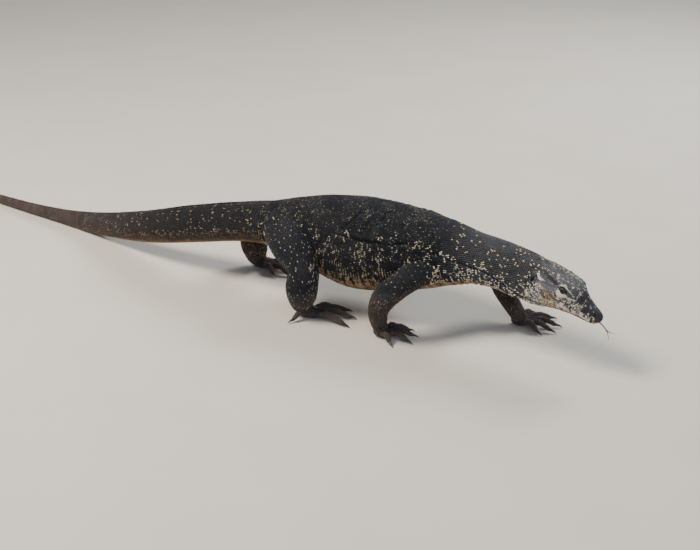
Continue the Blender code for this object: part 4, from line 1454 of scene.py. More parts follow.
    def leg(self, roots: Roots, form: LegForm) -> Array:
        """Dark with rows of fine cream dots, thicker in front, and olive yellow inside the front legs."""
        row, column, fore = roots.row, roots.column, "front" in form.leg.name
        up, height = roots.normal[:, 2], roots.place[:, 2]
        dot = (row % 3 == 0) & ((column + 2 * (row // 3 % 2)) % 4 == 0)
        front = ramp(roots.normal @ form.forward, 0.45, 0.85)
        chest = ramp(-roots.along, -3.4 * CM, -1.0 * CM) * ramp(-up, -0.5, 0.1) * fore
        forearm = ramp(-height, -9.0 * CM, -7.0 * CM) * fore
        fleck = self.flecks(roots, np.where(dot, 0.62, 0.012 + 0.16 * front), 20) * 0.56 * (1 - 0.7 * forearm)
        below = ramp(-up, -0.25, 0.3) * ramp(height, 6 * CM, 8 * CM) * fore
        golden = self.flecks(roots, 0.7 * below * (row % 2 == 0), 39, 2) * 0.6
        fleck = np.maximum(fleck, self.flecks(roots, 0.12 * forearm, 37) * 0.45)
        fleck = np.maximum(fleck, self.flecks(roots, 0.45 * chest, 34, 2))
        facing = (roots.normal @ form.inward) * 0.9 - 0.5 * up
        inner = ramp(facing + (noise(roots.place, 12 * MM, 9) - 0.5) * 0.4, 0.35, 0.75)
        inner *= ramp(height, 2.5 * CM, 5.5 * CM) * (0.85 if fore else 0.5)
        grain = default_rng(27).uniform(0.35, 1.0, len(roots)) * np.where(dot, 1.2, 0.75)
        pale = np.maximum(fleck, inner * grain)
        worn = np.maximum(ramp(-height, -5.5 * CM, -2.5 * CM), 0.6 * forearm)
        warm = np.where(golden > pale, 0.7, 0.17 + 0.6 * inner + 0.2 * forearm)
        return self.rows(np.maximum(pale, golden), warm, 0.05 + 0.45 * worn, roots, 24, 0.9 * worn)

    def foot(self, roots: Roots) -> Array:
        """Plain dark grey brown with a few pale flecks."""
        return self.rows(self.flecks(roots, np.full(len(roots), 0.02), 28) * 0.6, 0.25, 0.5, roots, 25, 0.6)

    def head(self, roots: Roots, head: HeadFrame) -> Array:
        """Slate above with rows of cream dashes, mottled cheeks, barred lips, and white round eye and ear; the slate
        is lightest at the temple, partly its paler grey and partly painted sunlight, with painted shade along the side
        fold's crease.
        """
        local = head.local(roots.place)
        along, out, above = local[:, 0], np.abs(local[:, 1]), local[:, 2]
        trace = partial(np.interp, along)  # heights and widths that change along the head
        draw = default_rng(29)
        chance = draw.random(len(roots))
        strong = draw.uniform(0.75, 1.0, len(roots))
        wave = noise(roots.place, 5 * MM, 10) - 0.5
        fine = noise(roots.place, 2.6 * MM, 33)
        spots = [(chance < 0.03) * 0.8]
        crown_row = np.abs(out - trace((-1, 2, 5, 6.4), (1.3, 1.15, 0.95, 0.8))) < 0.17
        beat = np.cos(along * 7.9 + 2 * np.sign(local[:, 1])) + 2 * wave
        spots.append(crown_row * (above > 1.2) * (beat > 0.15))
        ridge_out = trace((0, 4.6, 6.4), (1.9, 1.8, 1.35))
        brow = np.hypot(out - ridge_out, above - trace((4.6, 6.4), (1.9, 0.95)))
        spots.append(0.8 * (brow < 0.18) * (np.cos(along * 9.5) + 2 * wave > 0.3) * (along < 6.6))
        bands = np.cos((along - 7.58) * math.tau / 1.09) + 3.0 * (fine - 0.5)
        snout = (along > 6.0) * (along < 9.6) * (above > -0.9) * (out > 0.35) * (chance < 0.7)
        spots.append(0.85 * snout * ramp(bands, 0.9, 1.2))
        lip_line = trace((MOUTH_CORNER[0], 10.4), (MOUTH_CORNER[1], MOUTH_FRONT[1] - 0.05))
        over_lip = above - lip_line + 0.5 * (fine - 0.5)
        lip = ramp(over_lip, -0.75, -0.2) * ramp(-over_lip, -1.0, -0.6) * ramp(along, 0.8, 3.0)
        spots.append(lip * (np.cos(along * math.tau / 1.05) + 1.5 * wave < 0.75) * (chance < 0.85))
        top = trace((-1, 1, 3, 5, 8), (0.0, 0.5, 0.45, 0.3, 0.2))
        face = ramp(top - above + 0.6 * wave, -0.3, 0.25) * ramp(-along, -8.5, -6.5)
        spots.append(face * self.mottle(roots) * (chance < 0.84))
        spots.append(0.5 * ramp(fine, 0.70, 0.76) * (above > 0.3) * (along < 6.0))
        warm = 0.06 + 0.33 * face * ramp(-np.hypot(along - 2.9, above), -2.0, -0.5)
        stripe = ramp(over_lip, -0.8, -0.5) * ramp(-over_lip, -0.15, 0.1) * ramp(along, 1.0, 3.5)
        warm += 0.4 * stripe * ramp(-along, -9.2, -8.0) + 0.16 * crown_row
        ahead, up = along - EYE[0], above - EYE[2] - 0.05
        around = np.degrees(np.arctan2(up, ahead)) % 360
        turns = (0, 90, 140, 180, 225, 270, 310, 340, 360)
        reach = np.interp(around, turns, (0, 0, 0.35, 0.78, 0.92, 0.98, 0.86, 0.66, 0))
        white = ramp(reach - np.hypot(ahead, up), -0.04, 0.04) * (out > 0.9)
        tail_line = np.abs(above - trace((5.0, 6.5), (0.72, 0.40))) < 0.16
        over_eye = np.abs(above - trace((3.5, 4.4, 5.4, 6.2), (1.70, 1.98, 1.55, 0.88))) < 0.10
        over_eye = over_eye * (out > 1.5) * (along > 3.5) * (along < 6.2)
        lines = tail_line * (along > 5.0) * (along < 6.5) + over_eye * 0.75
        patch = (along > 0.1) & (along < 1.5) & (out > 1.5)
        patch &= above < trace((0.1, 1.5), (1.68, 1.34)) + 0.1 * wave
        patch &= above > trace((0.1, 0.7, 1.5), (1.56, 1.10, 1.22))
        clean = np.maximum(white, patch)
        pale = np.maximum.reduce(spots) * strong * (1 - clean)
        streak = ramp(-np.abs(out - trace((0.5, 3.2), (1.70, 2.25))), -0.24, -0.10)
        streak *= ramp(above, 1.3, 1.6) * 0.7 * (along < 3.4) * (1 - patch)
        angle = np.abs(roots.turn)
        under = angle - trace((0.2, 2.2), self.fold_turn[-2:])
        # Painted shade along the side fold's crease behind the jaw.
        crease = peak(under, 0, 2.6) * ramp(-along, -3.4, -2.4)
        temple = ramp(-np.hypot((along - 2.2) / 1.5, (above - 0.8) / 0.9), -1.15, -0.7)
        pale = np.maximum.reduce([pale * (1 - streak), clean, lines])
        hatch = np.cos(along * math.tau / 0.55) + 2 * wave > 0.2
        pale = np.maximum(pale, ramp(angle, 140, 156) * (0.85 - 0.5 * hatch))
        tip = ramp(along, 9.5, 10.1)
        # Lighter slate on the head, most at the temple and least on the snout: partly its paler grey, partly painted
        # sunlight.
        fade = 0.50 + 0.3 * temple - 0.34 * ramp(along, 5.6, 7.2) - 0.5 * streak
        fade *= 0.35 + 0.65 * ramp(along + 2 * wave, -1.0, 0.6)
        warm = warm * (1 - clean) + 0.25 * tip + 0.55 * ramp(angle, 136, 152) * ramp(-along, -6.0, -3.5)
        marks = self.rows(pale * (1 - 0.8 * tip * (above > -1.5)) * (1 - crease), warm, fade, roots, 26)
        marks[:, 3] *= 1 - 0.75 * crease
        return marks


# ---- finishes


def linear(colour: str) -> tuple[float, float, float, float]:
    """An sRGB hex colour as linear light, with full alpha."""
    parts = [int(colour[i : i + 2], 16) / 255 for i in (1, 3, 5)]
    return (*[p / 12.92 if p <= 0.04045 else ((p + 0.055) / 1.055) ** 2.4 for p in parts], 1.0)


def connect(node: Node, links: dict) -> None:
    """Fills a node's inputs, by name or number, each with a socket to link or a value to set."""
    for key, value in links.items():
        if isinstance(value, NodeSocket):
            node.id_data.links.new(value, node.inputs[key])
        else:
            node.inputs[key].default_value = value


def add_node(
    material: Material, kind: str, links: dict, stops: Stops = (), **settings: object
) -> bpy.types.bpy_prop_collection:
    """Adds a node with its settings and links.

    Args:
        material: Whose tree it joins.
        kind: The node's type, without the ShaderNode before it.
        links: Its inputs, as connect takes them.
        stops: Colours of its ramp, each with its place from 0 to 1.
        settings: The node's own settings.

    Returns:
        Its outputs.
    """
    node = material.node_tree.nodes.new(f"ShaderNode{kind}")
    for key, value in settings.items():
        setattr(node, key, value)
    if stops:
        elements = node.color_ramp.elements
        for _ in stops[2:]:
            elements.new(0.5)
        for element, (place, colour) in zip(elements, stops):
            element.position, element.color = place, linear(colour)
    connect(node, links)
    return node.outputs


def new_material(name: str) -> tuple[Material, Node, Callable, NodeSocket]:
    """A material, its surface shader, what adds a node to it, and its places in the object's own axes."""
    material = bpy.data.materials.new(name)
    material.use_nodes = True
    add = partial(add_node, material)
    return material, material.node_tree.nodes["Principled BSDF"], add, add("TexCoord", {})["Object"]


@dataclass(frozen=True)
class HideFinish:
    """Keratin over skin: a matt to satin dark hide, pale scales, and dark skin between; each scale's crest is painted
    lighter as a bluish highlight and its low edge darker as painted shade.

    Args:
        name: The material's name.
        dark: The dark scales of the back.
        slate: What they fade to where they are cold.
        brown: What they fade to where they are warm.
        pales: Pale scales, each with how warm.
        between: How light the low edge of a dark scale is, painted shade where it meets the skin.
        crest: How light its crest is, a painted highlight.
        pale_edge_shade: The painted shade at the low edge of a pale one.
        pale_crest_highlight: And the painted highlight on its crest.
        roughness: Of the crown of a scale.
        gloss: Its specular level, under 0.5 because dust dulls it.
        grain: Size of the specks of wear and dust.
        blotch: Size of the darker and lighter clouds.
        relief: Height of the grain.
    """

    name: str
    dark: str = "#0d1017"
    slate: str = "#696a6e"
    brown: str = "#574b46"
    pales: Stops = (
        (0.0, "#e6dcd3"), (0.25, "#d4c39a"), (0.42, "#c49f79"), (0.65, "#95703a"), (1.0, "#6e4c20"),
    )
    between: float = 0.12
    crest: float = 2.1
    pale_edge_shade: float = 0.40
    pale_crest_highlight: float = 1.08
    roughness: float = 0.34
    gloss: float = 0.20
    grain: float = 10 / 9 * MM
    blotch: float = 100 / 7 * MM
    relief: float = 0.12 * MM

    def make(self) -> Material:
        """Builds the material."""
        material, shader, add, place = new_material(self.name)
        marks = add("Attribute", {}, attribute_name="markings")
        pale, warm, faded = add("SeparateColor", {0: marks["Color"]})
        crown = add("Attribute", {}, attribute_name="crown")["Fac"]
        fine = {"Vector": place, "Scale": 1 / self.grain, "Detail": 3.0, "Roughness": 0.6}
        grain = add("TexNoise", fine)[0]
        blotch = add("TexNoise", {"Vector": place, "Scale": 1 / self.blotch, "Detail": 2.0})[0]
        warmth = add("MapRange", {0: warm, 1: 0.15, 2: 0.4})[0]
        faint = add("Mix", {0: warmth, 6: linear(self.slate), 7: linear(self.brown)}, data_type="RGBA")[2]
        base = add("Mix", {0: faded, 6: linear(self.dark), 7: faint}, data_type="RGBA")[2]
        cream = add("ValToRGB", {0: warm}, self.pales)[0]
        reach = add("Math", {0: pale, 1: 0.8, 2: crown}, operation="MULTIPLY_ADD")[0]
        within = add("MapRange", {0: reach, 1: 1.0, 2: 1.3})[0]
        share = add("Math", {0: within, 1: pale}, operation="MULTIPLY")[0]
        colour = add("Mix", {0: share, 6: base, 7: cream}, data_type="RGBA")[2]
        # Painted light: each scale's crest is lightened as a highlight and its low edge darkened as shade, less so on
        # pale scales.
        low = add("MapRange", {0: share, 3: self.between, 4: self.pale_edge_shade})[0]
        high = add("MapRange", {0: share, 3: self.crest, 4: self.pale_crest_highlight})[0]
        edge = add("MapRange", {0: crown, 1: 0.1, 3: low, 4: high}, interpolation_type="SMOOTHSTEP")[0]
        fleck = add("MapRange", {0: grain, 1: 0.3, 2: 0.7, 3: 0.8, 4: 1.15})[0]
        cloud = add("MapRange", {0: blotch, 1: 0.3, 2: 0.7, 3: 0.85, 4: 1.12})[0]
        light = add("MapRange", {0: marks["Alpha"], 3: 0.6, 4: 1.4})[0]
        for factor in (fleck, cloud, edge):
            light = add("Math", {0: light, 1: factor}, operation="MULTIPLY")[0]
        dull, worn = self.roughness - 0.06, self.roughness + 0.1
        connect(shader, {
            "Base Color": add("VectorMath", {0: colour, "Scale": light}, operation="SCALE")[0],
            "Roughness": add("MapRange", {0: grain, 1: 0.3, 2: 0.7, 3: dull, 4: worn})[0],
            "Normal": add("Bump", {"Height": grain, "Strength": 0.5, "Distance": self.relief})[0],
            "IOR": 1.5,
            "Specular IOR Level": self.gloss,
        })
        return material


@dataclass(frozen=True)
class HornFinish:
    """Claw horn: near black at the root, browner and more worn at the point, with fine streaks along it."""

    name: str = "claw_keratin"
    dark: str = "#17140f"
    worn: str = "#4a3c2c"
    streak: float = 5 / 3 * MM

    def make(self) -> Material:
        """Builds the material."""
        material, shader, add, place = new_material(self.name)
        streak = add("TexNoise", {"Vector": place, "Scale": 1 / self.streak, "Detail": 4.0})[0]
        tip = add("Attribute", {}, attribute_name="crown")["Fac"]
        share = add("Math", {0: tip, 1: streak}, operation="MULTIPLY")[0]
        horn = add("Mix", {0: share, 6: linear(self.dark), 7: linear(self.worn)}, data_type="RGBA")[2]
        connect(shader, {
            "Base Color": horn,
            "Normal": add("Bump", {"Height": streak, "Strength": 0.4, "Distance": 0.1 * MM})[0],
            "Roughness": 0.32,
            "IOR": 1.55,
        })
        return material


@dataclass(frozen=True)
class EyeFinish:
    """A wet eye: blue-black pupil, dark red-brown iris with fine rays, and a darker rim."""

    name: str = "wet_eye"
    rings: Stops = (
        (0.34, "#05070c"), (0.38, "#43201a"), (0.45, "#35130f"), (0.58, "#35130f"), (0.66, "#0b0706"),
    )
    ray: float = 5 / 9 * MM

    def make(self) -> Material:
        """Builds the material."""
        material, shader, add, place = new_material(self.name)
        out = add("Attribute", {}, attribute_name="crown")["Fac"]
        rays = add("TexNoise", {"Vector": place, "Scale": 1 / self.ray, "Detail": 2.0})[0]
        rings = add("ValToRGB", {0: out}, self.rings)[0]
        over = {0: 0.6, 6: rings, 7: rays}
        connect(shader, {
            "Base Color": add("Mix", over, data_type="RGBA", blend_type="OVERLAY")[2],
            "Roughness": 0.08,
            "Coat Weight": 0.3,
            "Coat Roughness": 0.03,
            "IOR": 1.376,
        })
        return material


@dataclass(frozen=True)
class TongueFinish:
    """A moist tongue: dusky violet with a paler stem, slightly see-through at its thin tines."""

    name: str = "moist_tongue"
    dark: str = "#2c2330"
    pale: str = "#7b5a68"
    spot: float = 2.5 * MM

    def make(self) -> Material:
        """Builds the material."""
        material, shader, add, place = new_material(self.name)
        spots = add("TexNoise", {"Vector": place, "Scale": 1 / self.spot, "Detail": 3.0})[0]
        colour = add("Mix", {0: spots, 6: linear(self.dark), 7: linear(self.pale)}, data_type="RGBA")[2]
        connect(shader, {
            "Base Color": colour,
            "Roughness": 0.22,
            "Subsurface Weight": 0.1,
            "Subsurface Scale": 2 * MM,
        })
        return material


@dataclass(frozen=True)
class FloorFinish:
    """Pale matt plaster, faintly mottled."""

    name: str = "pale_floor"
    colour: str = "#d8d3ca"
    mottle: str = "#cdc7bc"
    cloud: float = 500 / 3 * MM

    def make(self) -> Material:
        """Builds the material."""
        material, shader, add, place = new_material(self.name)
        cloud = add("TexNoise", {"Vector": place, "Scale": 1 / self.cloud, "Detail": 6.0})[0]
        colour = add("Mix", {0: cloud, 6: linear(self.colour), 7: linear(self.mottle)}, data_type="RGBA")[2]
        connect(shader, {"Base Color": colour, "Roughness": 0.85})
        return material


# ---- pieces on the skin


def finish_piece(piece: Object, material: Material, slot: str, *nodes: str) -> None:
    """Dresses a piece, fixes it to the animal and says which nodes it stands for."""
    piece.data.materials.clear()
    piece.data.materials.append(material)
    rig.ride(piece, "root")
    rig.slot(piece, slot)
    if nodes:
        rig.replaces(piece, *nodes)
    LOG.info("%s: %d faces", piece.name, len(piece.data.polygons))


@dataclass
class Dresser:
    """Turns planted scales into pieces with their map and markings."""

    forms: dict[int, ScaleForm]
    material: Material
    most: int = 8800  # scales in a piece
    MARGIN: ClassVar[float] = 0.005  # of the map, left free round it
    PATCH: ClassVar[float] = 0.003  # of the map, that a scale takes up

    def coat(self, name: str, roots: Roots, seed: int) -> None:
        """One region's coat, in as many pieces as its number of scales needs.

        Args:
            name: Its name.
            roots: Its scales, with their marks.
            seed: For the differences between scales.
        """
        parts = math.ceil(len(roots) / self.most)
        cuts = np.quantile(roots.along, np.linspace(0, 1, parts + 1))
        cuts[-1] += 1
        for number, (start, end) in enumerate(zip(cuts, cuts[1:])):
            inside = roots.only((roots.along >= start) & (roots.along < end))
            self.part(name if parts == 1 else f"{name}_{number + 1}", inside, seed + number)

    def part(self, name: str, roots: Roots, seed: int) -> None:
        """One coat piece."""
        form = self.forms[roots.kind.value[-1]]
        points, faces = form.copies(roots, seed)
        piece = new_piece(name, points.reshape(-1, 3), faces.tolist())
        piece.data.shade_smooth()
        store(piece, "markings", np.repeat(roots.marks, len(form.points), axis=0))
        store(piece, "crown", np.tile(form.crown, len(roots)))
        span = max(float(np.ptp(roots.along)), 1e-6)
        share = [(roots.along - roots.along.min()) / span, roots.turn / 360 + 0.5]
        root = np.stack(share, 1) * (1 - 2 * self.MARGIN) + self.MARGIN
        patch = root[:, None, :] + form.points[None, :, :2] * self.PATCH
        layer = piece.data.uv_layers.new(name="OFBake")
        layer.data.foreach_set("uv", patch.reshape(-1, 2)[faces.ravel()].ravel().astype(np.float32))
        finish_piece(piece, self.material, "hide")


@dataclass(frozen=True)
class Eye:
    """An eyeball with a bulging cornea, and the lids round it.

    Args:
        radius: Of the ball.
        cornea: How much the cornea bulges, as a share of the radius.
        opening: Half-length and half-height of the lids' opening.
        lid: Half-thickness of the lids.
    """

    radius: float = EYE_RADIUS
    cornea: float = 0.04
    opening: tuple[float, float] = (5.4 * MM, 4.2 * MM)
    lid: float = 0.6 * MM
    TUBE: ClassVar[float] = 0.2  # thickness of the ring that the lids are shaped from

    def set_in(self, piece: Object, head: HeadFrame, side: int) -> None:
        """Moves a piece modelled at the origin to the eye: its Z looks out, its X forward along the head."""
        look = unit(head.left * side + head.forward * 0.22 + head.up * 0.18)
        ahead = unit(head.forward - look * (head.forward @ look))
        turn = Matrix((ahead, np.cross(look, ahead), look)).transposed().to_4x4()
        piece.data.transform(Matrix.Translation(head.place(EYE[0], EYE[1] * side, EYE[2])) @ turn)
        piece.data.shade_smooth()

    def ball(self, head: HeadFrame, side: int, material: Material) -> None:
        """Models the eyeball."""
        name = "eye_left" if side > 0 else "eye_right"
        sphere = bpy.ops.mesh.primitive_uv_sphere_add
        piece = primitive(sphere, segments=48, ring_count=32, radius=self.radius)
        piece.name = f"{name}_ball"
        points = points_of(piece)
        angle = np.arccos(np.clip(points[:, 2] / self.radius, -1, 1))
        points *= (1 + self.cornea * (1 - ramp(angle, 0.5, 0.95)))[:, None]
        set_points(piece, points)
        self.set_in(piece, head, side)
        store(piece, "crown", angle / (math.pi / 2))
        finish_piece(piece, material, "eye", name)

    def lids(self, head: HeadFrame, side: int, material: Material) -> None:
        """Models the rim of both lids as one almond ring, heavier above."""
        sizes = {"major_segments": 56, "minor_segments": 12, "major_radius": 1, "minor_radius": self.TUBE}
        piece = primitive(bpy.ops.mesh.primitive_torus_add, **sizes)
        piece.name = "eyelids_left" if side > 0 else "eyelids_right"
        points = points_of(piece)
        around = np.arctan2(-points[:, 1] * side, points[:, 0])
        ring = np.stack([np.cos(around), -np.sin(around) * side, np.zeros(len(points))], 1)
        tube = (points - ring) / self.TUBE
        upper = ramp(np.sin(around), -0.1, 0.9)
        thick = self.lid * (1 + 0.15 * upper)
        rim = ring * np.array((*self.opening, 0))
        rim[:, 1] *= np.abs(np.sin(around)) ** 0.3 * (1 + 0.08 * upper)
        rim[:, 2] = np.sqrt(np.maximum(self.radius**2 - (rim**2).sum(1), 0)) + 0.1 * MM
        set_points(piece, rim + tube * thick[:, None])
        self.set_in(piece, head, side)
        white = ramp(-0.85 * np.sin(around) - 0.5 * np.cos(around), -0.1, 0.35)
        faded = np.full_like(white, 0.2)
        marks = [0.20 + 0.75 * white, 0.12 * (1 - white), faded, 0.2 + 0.3 * white]
        store(piece, "markings", np.stack(marks, 1))
        store(piece, "crown", np.full_like(white, 0.8))
        finish_piece(piece, material, "hide")


class ClawForm:
    """A claw, modelled once along +X with its root at the origin, and copied to every toe."""

    STEPS = 9
    SIDES = 12
    DROP = 4.45 * MM  # from its root to its point
    ROOT = 2.6 * MM

    def __init__(self) -> None:
        """Extrudes a disc into an arched, tapering claw."""
        edit = bpy.ops.mesh
        piece = primitive(edit.primitive_circle_add, vertices=self.SIDES, radius=self.ROOT, fill_type="NGON")
        bpy.ops.object.mode_set(mode="EDIT")
        edit.select_all(action="SELECT")
        bpy.ops.transform.rotate(value=math.pi / 2, orient_axis="Y", center_override=(0, 0, 0))
        bpy.ops.transform.resize(value=(1, 0.72, 1), center_override=(0, 0, 0))
        before = (0.0, 0.0)
        size = 1.0
        for step in range(1, self.STEPS + 1):
            share = step / self.STEPS
            place = (CLAW_LENGTH * share, 0.9 * MM * share - self.DROP * share**2 - 0.9 * MM * share**3)
            edit.extrude_region_move(
                TRANSFORM_OT_translate={"value": (place[0] - before[0], 0, place[1] - before[1])}
            )
            after = (1 - share) ** 0.75 + 0.06
            bpy.ops.transform.resize(value=[after / size] * 3, center_override=(place[0], 0, place[1]))
            before, size = place, after
        edit.select_all(action="SELECT")
        edit.normals_make_consistent(inside=False)
        bpy.ops.object.mode_set(mode="OBJECT")
        piece.data.shade_smooth()
        self.mesh = piece.data.copy()
        bpy.data.objects.remove(piece, do_unlink=True)

    def place(self, name: str, tube: ToeForm, material: Material) -> None:
        """Sets a copy at the end of a toe.

        Args:
            name: The CAD node it stands for.
            tube: The toe.
            material: Its horn.
        """
        piece = linked(f"{name}_horn", self.mesh.copy())
        share = points_of(piece)[:, 0] / CLAW_LENGTH
        way = Vector(tube.way)
        left = Vector((0, 0, 1)).cross(way)
        turn = Matrix((way, left, Vector((0, 0, 1)))).transposed().to_4x4()
        start = tube.places[-1] - tube.way * 0.8 * MM
        piece.data.transform(Matrix.Translation(start) @ turn)
        points = points_of(piece)
        points[:, 2] = np.maximum(points[:, 2], 0.3 * MM)
        set_points(piece, points)
        store(piece, "crown", share)
        finish_piece(piece, material, "claw", name)


class Tongue:
    """The forked tongue, flicked out and down, with one tine lifted."""

    MELT = 0.22 * MM  # voxels that stem and tines are melted with
    THICK = 0.78 * MM  # half of the stem, top to bottom

    def make(self, head: HeadFrame, material: Material) -> None:
        """Models stem and tines, and melts them into one.

        Args:
            head: The head it comes from.
            material: Its finish.
        """
        reach = TONGUE_REACH / CM
        bends = ((-0.42, 0.0), (-0.1, 0.0), (0.22, 0.09), (0.52, 0.24))
        low = MOUTH_FRONT[1] + 0.02
        stem = np.array([head.place(HEAD_LENGTH + a * reach, 0, low - b * reach) for a, b in bends])
        flesh = [(w * MM, self.THICK, self.THICK, 2, 0) for w in (1.35, 1.25, 1.1, 1.0)]
        shells = [new_piece("tongue_skin", *Tube(stem, flesh, np.arange(4), 0.2).shell(0, 3, 40, 20, 0))]
        fork, way = stem[-1], unit(stem[-1] - stem[-2])
        left = unit(np.cross((0, 0, 1), way))
        for side, lift in ((1, 0.25), (-1, -0.12)):
            bends = ((-2, 0, 0), (3, 1.2, 0), (8, 4.0, 4), (12, 7.5, 12))
            rise = np.array((0, 0, lift))
            line = np.array([fork + (way * a + left * side * b + rise * c) * MM for a, b, c in bends])
            thin = [(r * MM, r * MM, r * MM, 2, 0) for r in (0.85, 0.68, 0.5, 0.32)]
            shells.append(new_piece("tine", *Tube(line, thin, np.arange(4), 0.2).shell(0, 3, 40, 14, 0)))
        piece = merged(shells)
        apply_modifier(piece, "REMESH", mode="VOXEL", voxel_size=self.MELT)
        apply_modifier(piece, "SMOOTH", factor=0.5, iterations=4)
        piece.data.shade_smooth()
        finish_piece(piece, material, "tongue", "tongue")


# ---- the studio


@dataclass(frozen=True)
class Studio:
    """The plain pale floor, soft lights and the camera.

    Args:
        target: What the camera looks at.
        distance: From there to the camera, in metres.
        azimuth: Degrees that the camera stands round from -Y.
        elevation: Degrees that it looks down.
        lens: Its focal length in mm, on a film 36 mm wide.
    """

    target: Place = (0.28369, -0.00053, 0.04)
    distance: float = 1.90
    azimuth: float = 27.0
    elevation: float = 25.0
    lens: float = 60.69
    FLOOR: ClassVar[float] = 16.0  # metres across

    def floor(self, material: Material) -> None:
        """Lays the floor."""
        piece = primitive(bpy.ops.mesh.primitive_plane_add, size=self.FLOOR)
        piece.name = "floor"
        piece.data.materials.append(material)
        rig.stage(piece)

    def light(
        self, name: str, place: Place, size: float, power: float, colour: str
    ) -> None:
        """Adds a soft light that looks at the animal."""
        lamp = bpy.data.lights.new(name, "AREA")
        lamp.shape = "DISK"
        lamp.size = size
        lamp.energy = power
        lamp.color = linear(colour)[:3]
        piece = linked(name, lamp)
        piece.location = place
        way = Vector((0.1, 0, 0.05)) - Vector(place)
        piece.rotation_euler = way.to_track_quat("-Z", "Y").to_euler()

    def camera(self) -> None:
        """Stands the camera where it sees the animal's right side and its head."""
        around, rise = math.radians(self.azimuth), math.radians(self.elevation)
        back = Vector((math.sin(around) * math.cos(rise), -math.cos(around) * math.cos(rise), math.sin(rise)))
        data = bpy.data.cameras.new("camera")
        data.lens = self.lens
        data.sensor_width = 36.0
        piece = linked("camera", data)
        piece.location = Vector(self.target) + back * self.distance
        piece.rotation_euler = back.to_track_quat("Z", "Y").to_euler()
        bpy.context.scene.camera = piece

    def build(self) -> None:
        """Sets everything up."""
        self.floor(FloorFinish().make())
        self.light("key", (-0.9, -0.9, 2.2), 1.0, 85, "#fff4e2")
        self.light("fill", (1.8, -1.6, 1.2), 1.6, 18, "#dfe9ff")
        self.light("rim", (0.9, 1.8, 1.7), 1.0, 45, "#ffffff")
        world = bpy.data.worlds.new("studio")
        bpy.context.scene.world = world
        world.use_nodes = True
        connect(world.node_tree.nodes["Background"], {"Color": linear("#c9d2dc"), "Strength": 0.45})
        self.camera()


# ---- the whole animal


PITCH = (
    ("tail_point", 1.5), ("whip", 1.7), ("thin_tail", 1.9), ("laid_tail", 2.1), ("deep_tail", 2.3),
    ("vent", 2.3), ("hips", 2.5), ("belly", 2.55), ("shoulders", 2.7), ("neck_root", 3.0), ("nape", 3.2),
    ("ears", 2.8),
)
DRUM_MARKS = (0.72, 0.45, 1.0, 0.35)  # the eardrum's grey brown
# Painted shade in the hollows of the mouth line, nostril and ear rim.
HOLLOW_SHADE_MARKS = (0.0, 0.2, 0.1, 0.1)  # the dark of mouth line, nostril and ear rim
FINE_HEAD = -1.5  # cm along the head, from where its skin is kept fine
FOOT_HEIGHT = 2.4 * CM
FEET_START = 15 * CM  # all feet stand ahead of this, and the part of the tail that lies on the floor behind
HEAD_PITCHES = ((0.08, 2.3), (0.25, 1.9), (0.45, 1.8), (0.63, 1.75), (0.9, 1.6), (1.0, 1.4))


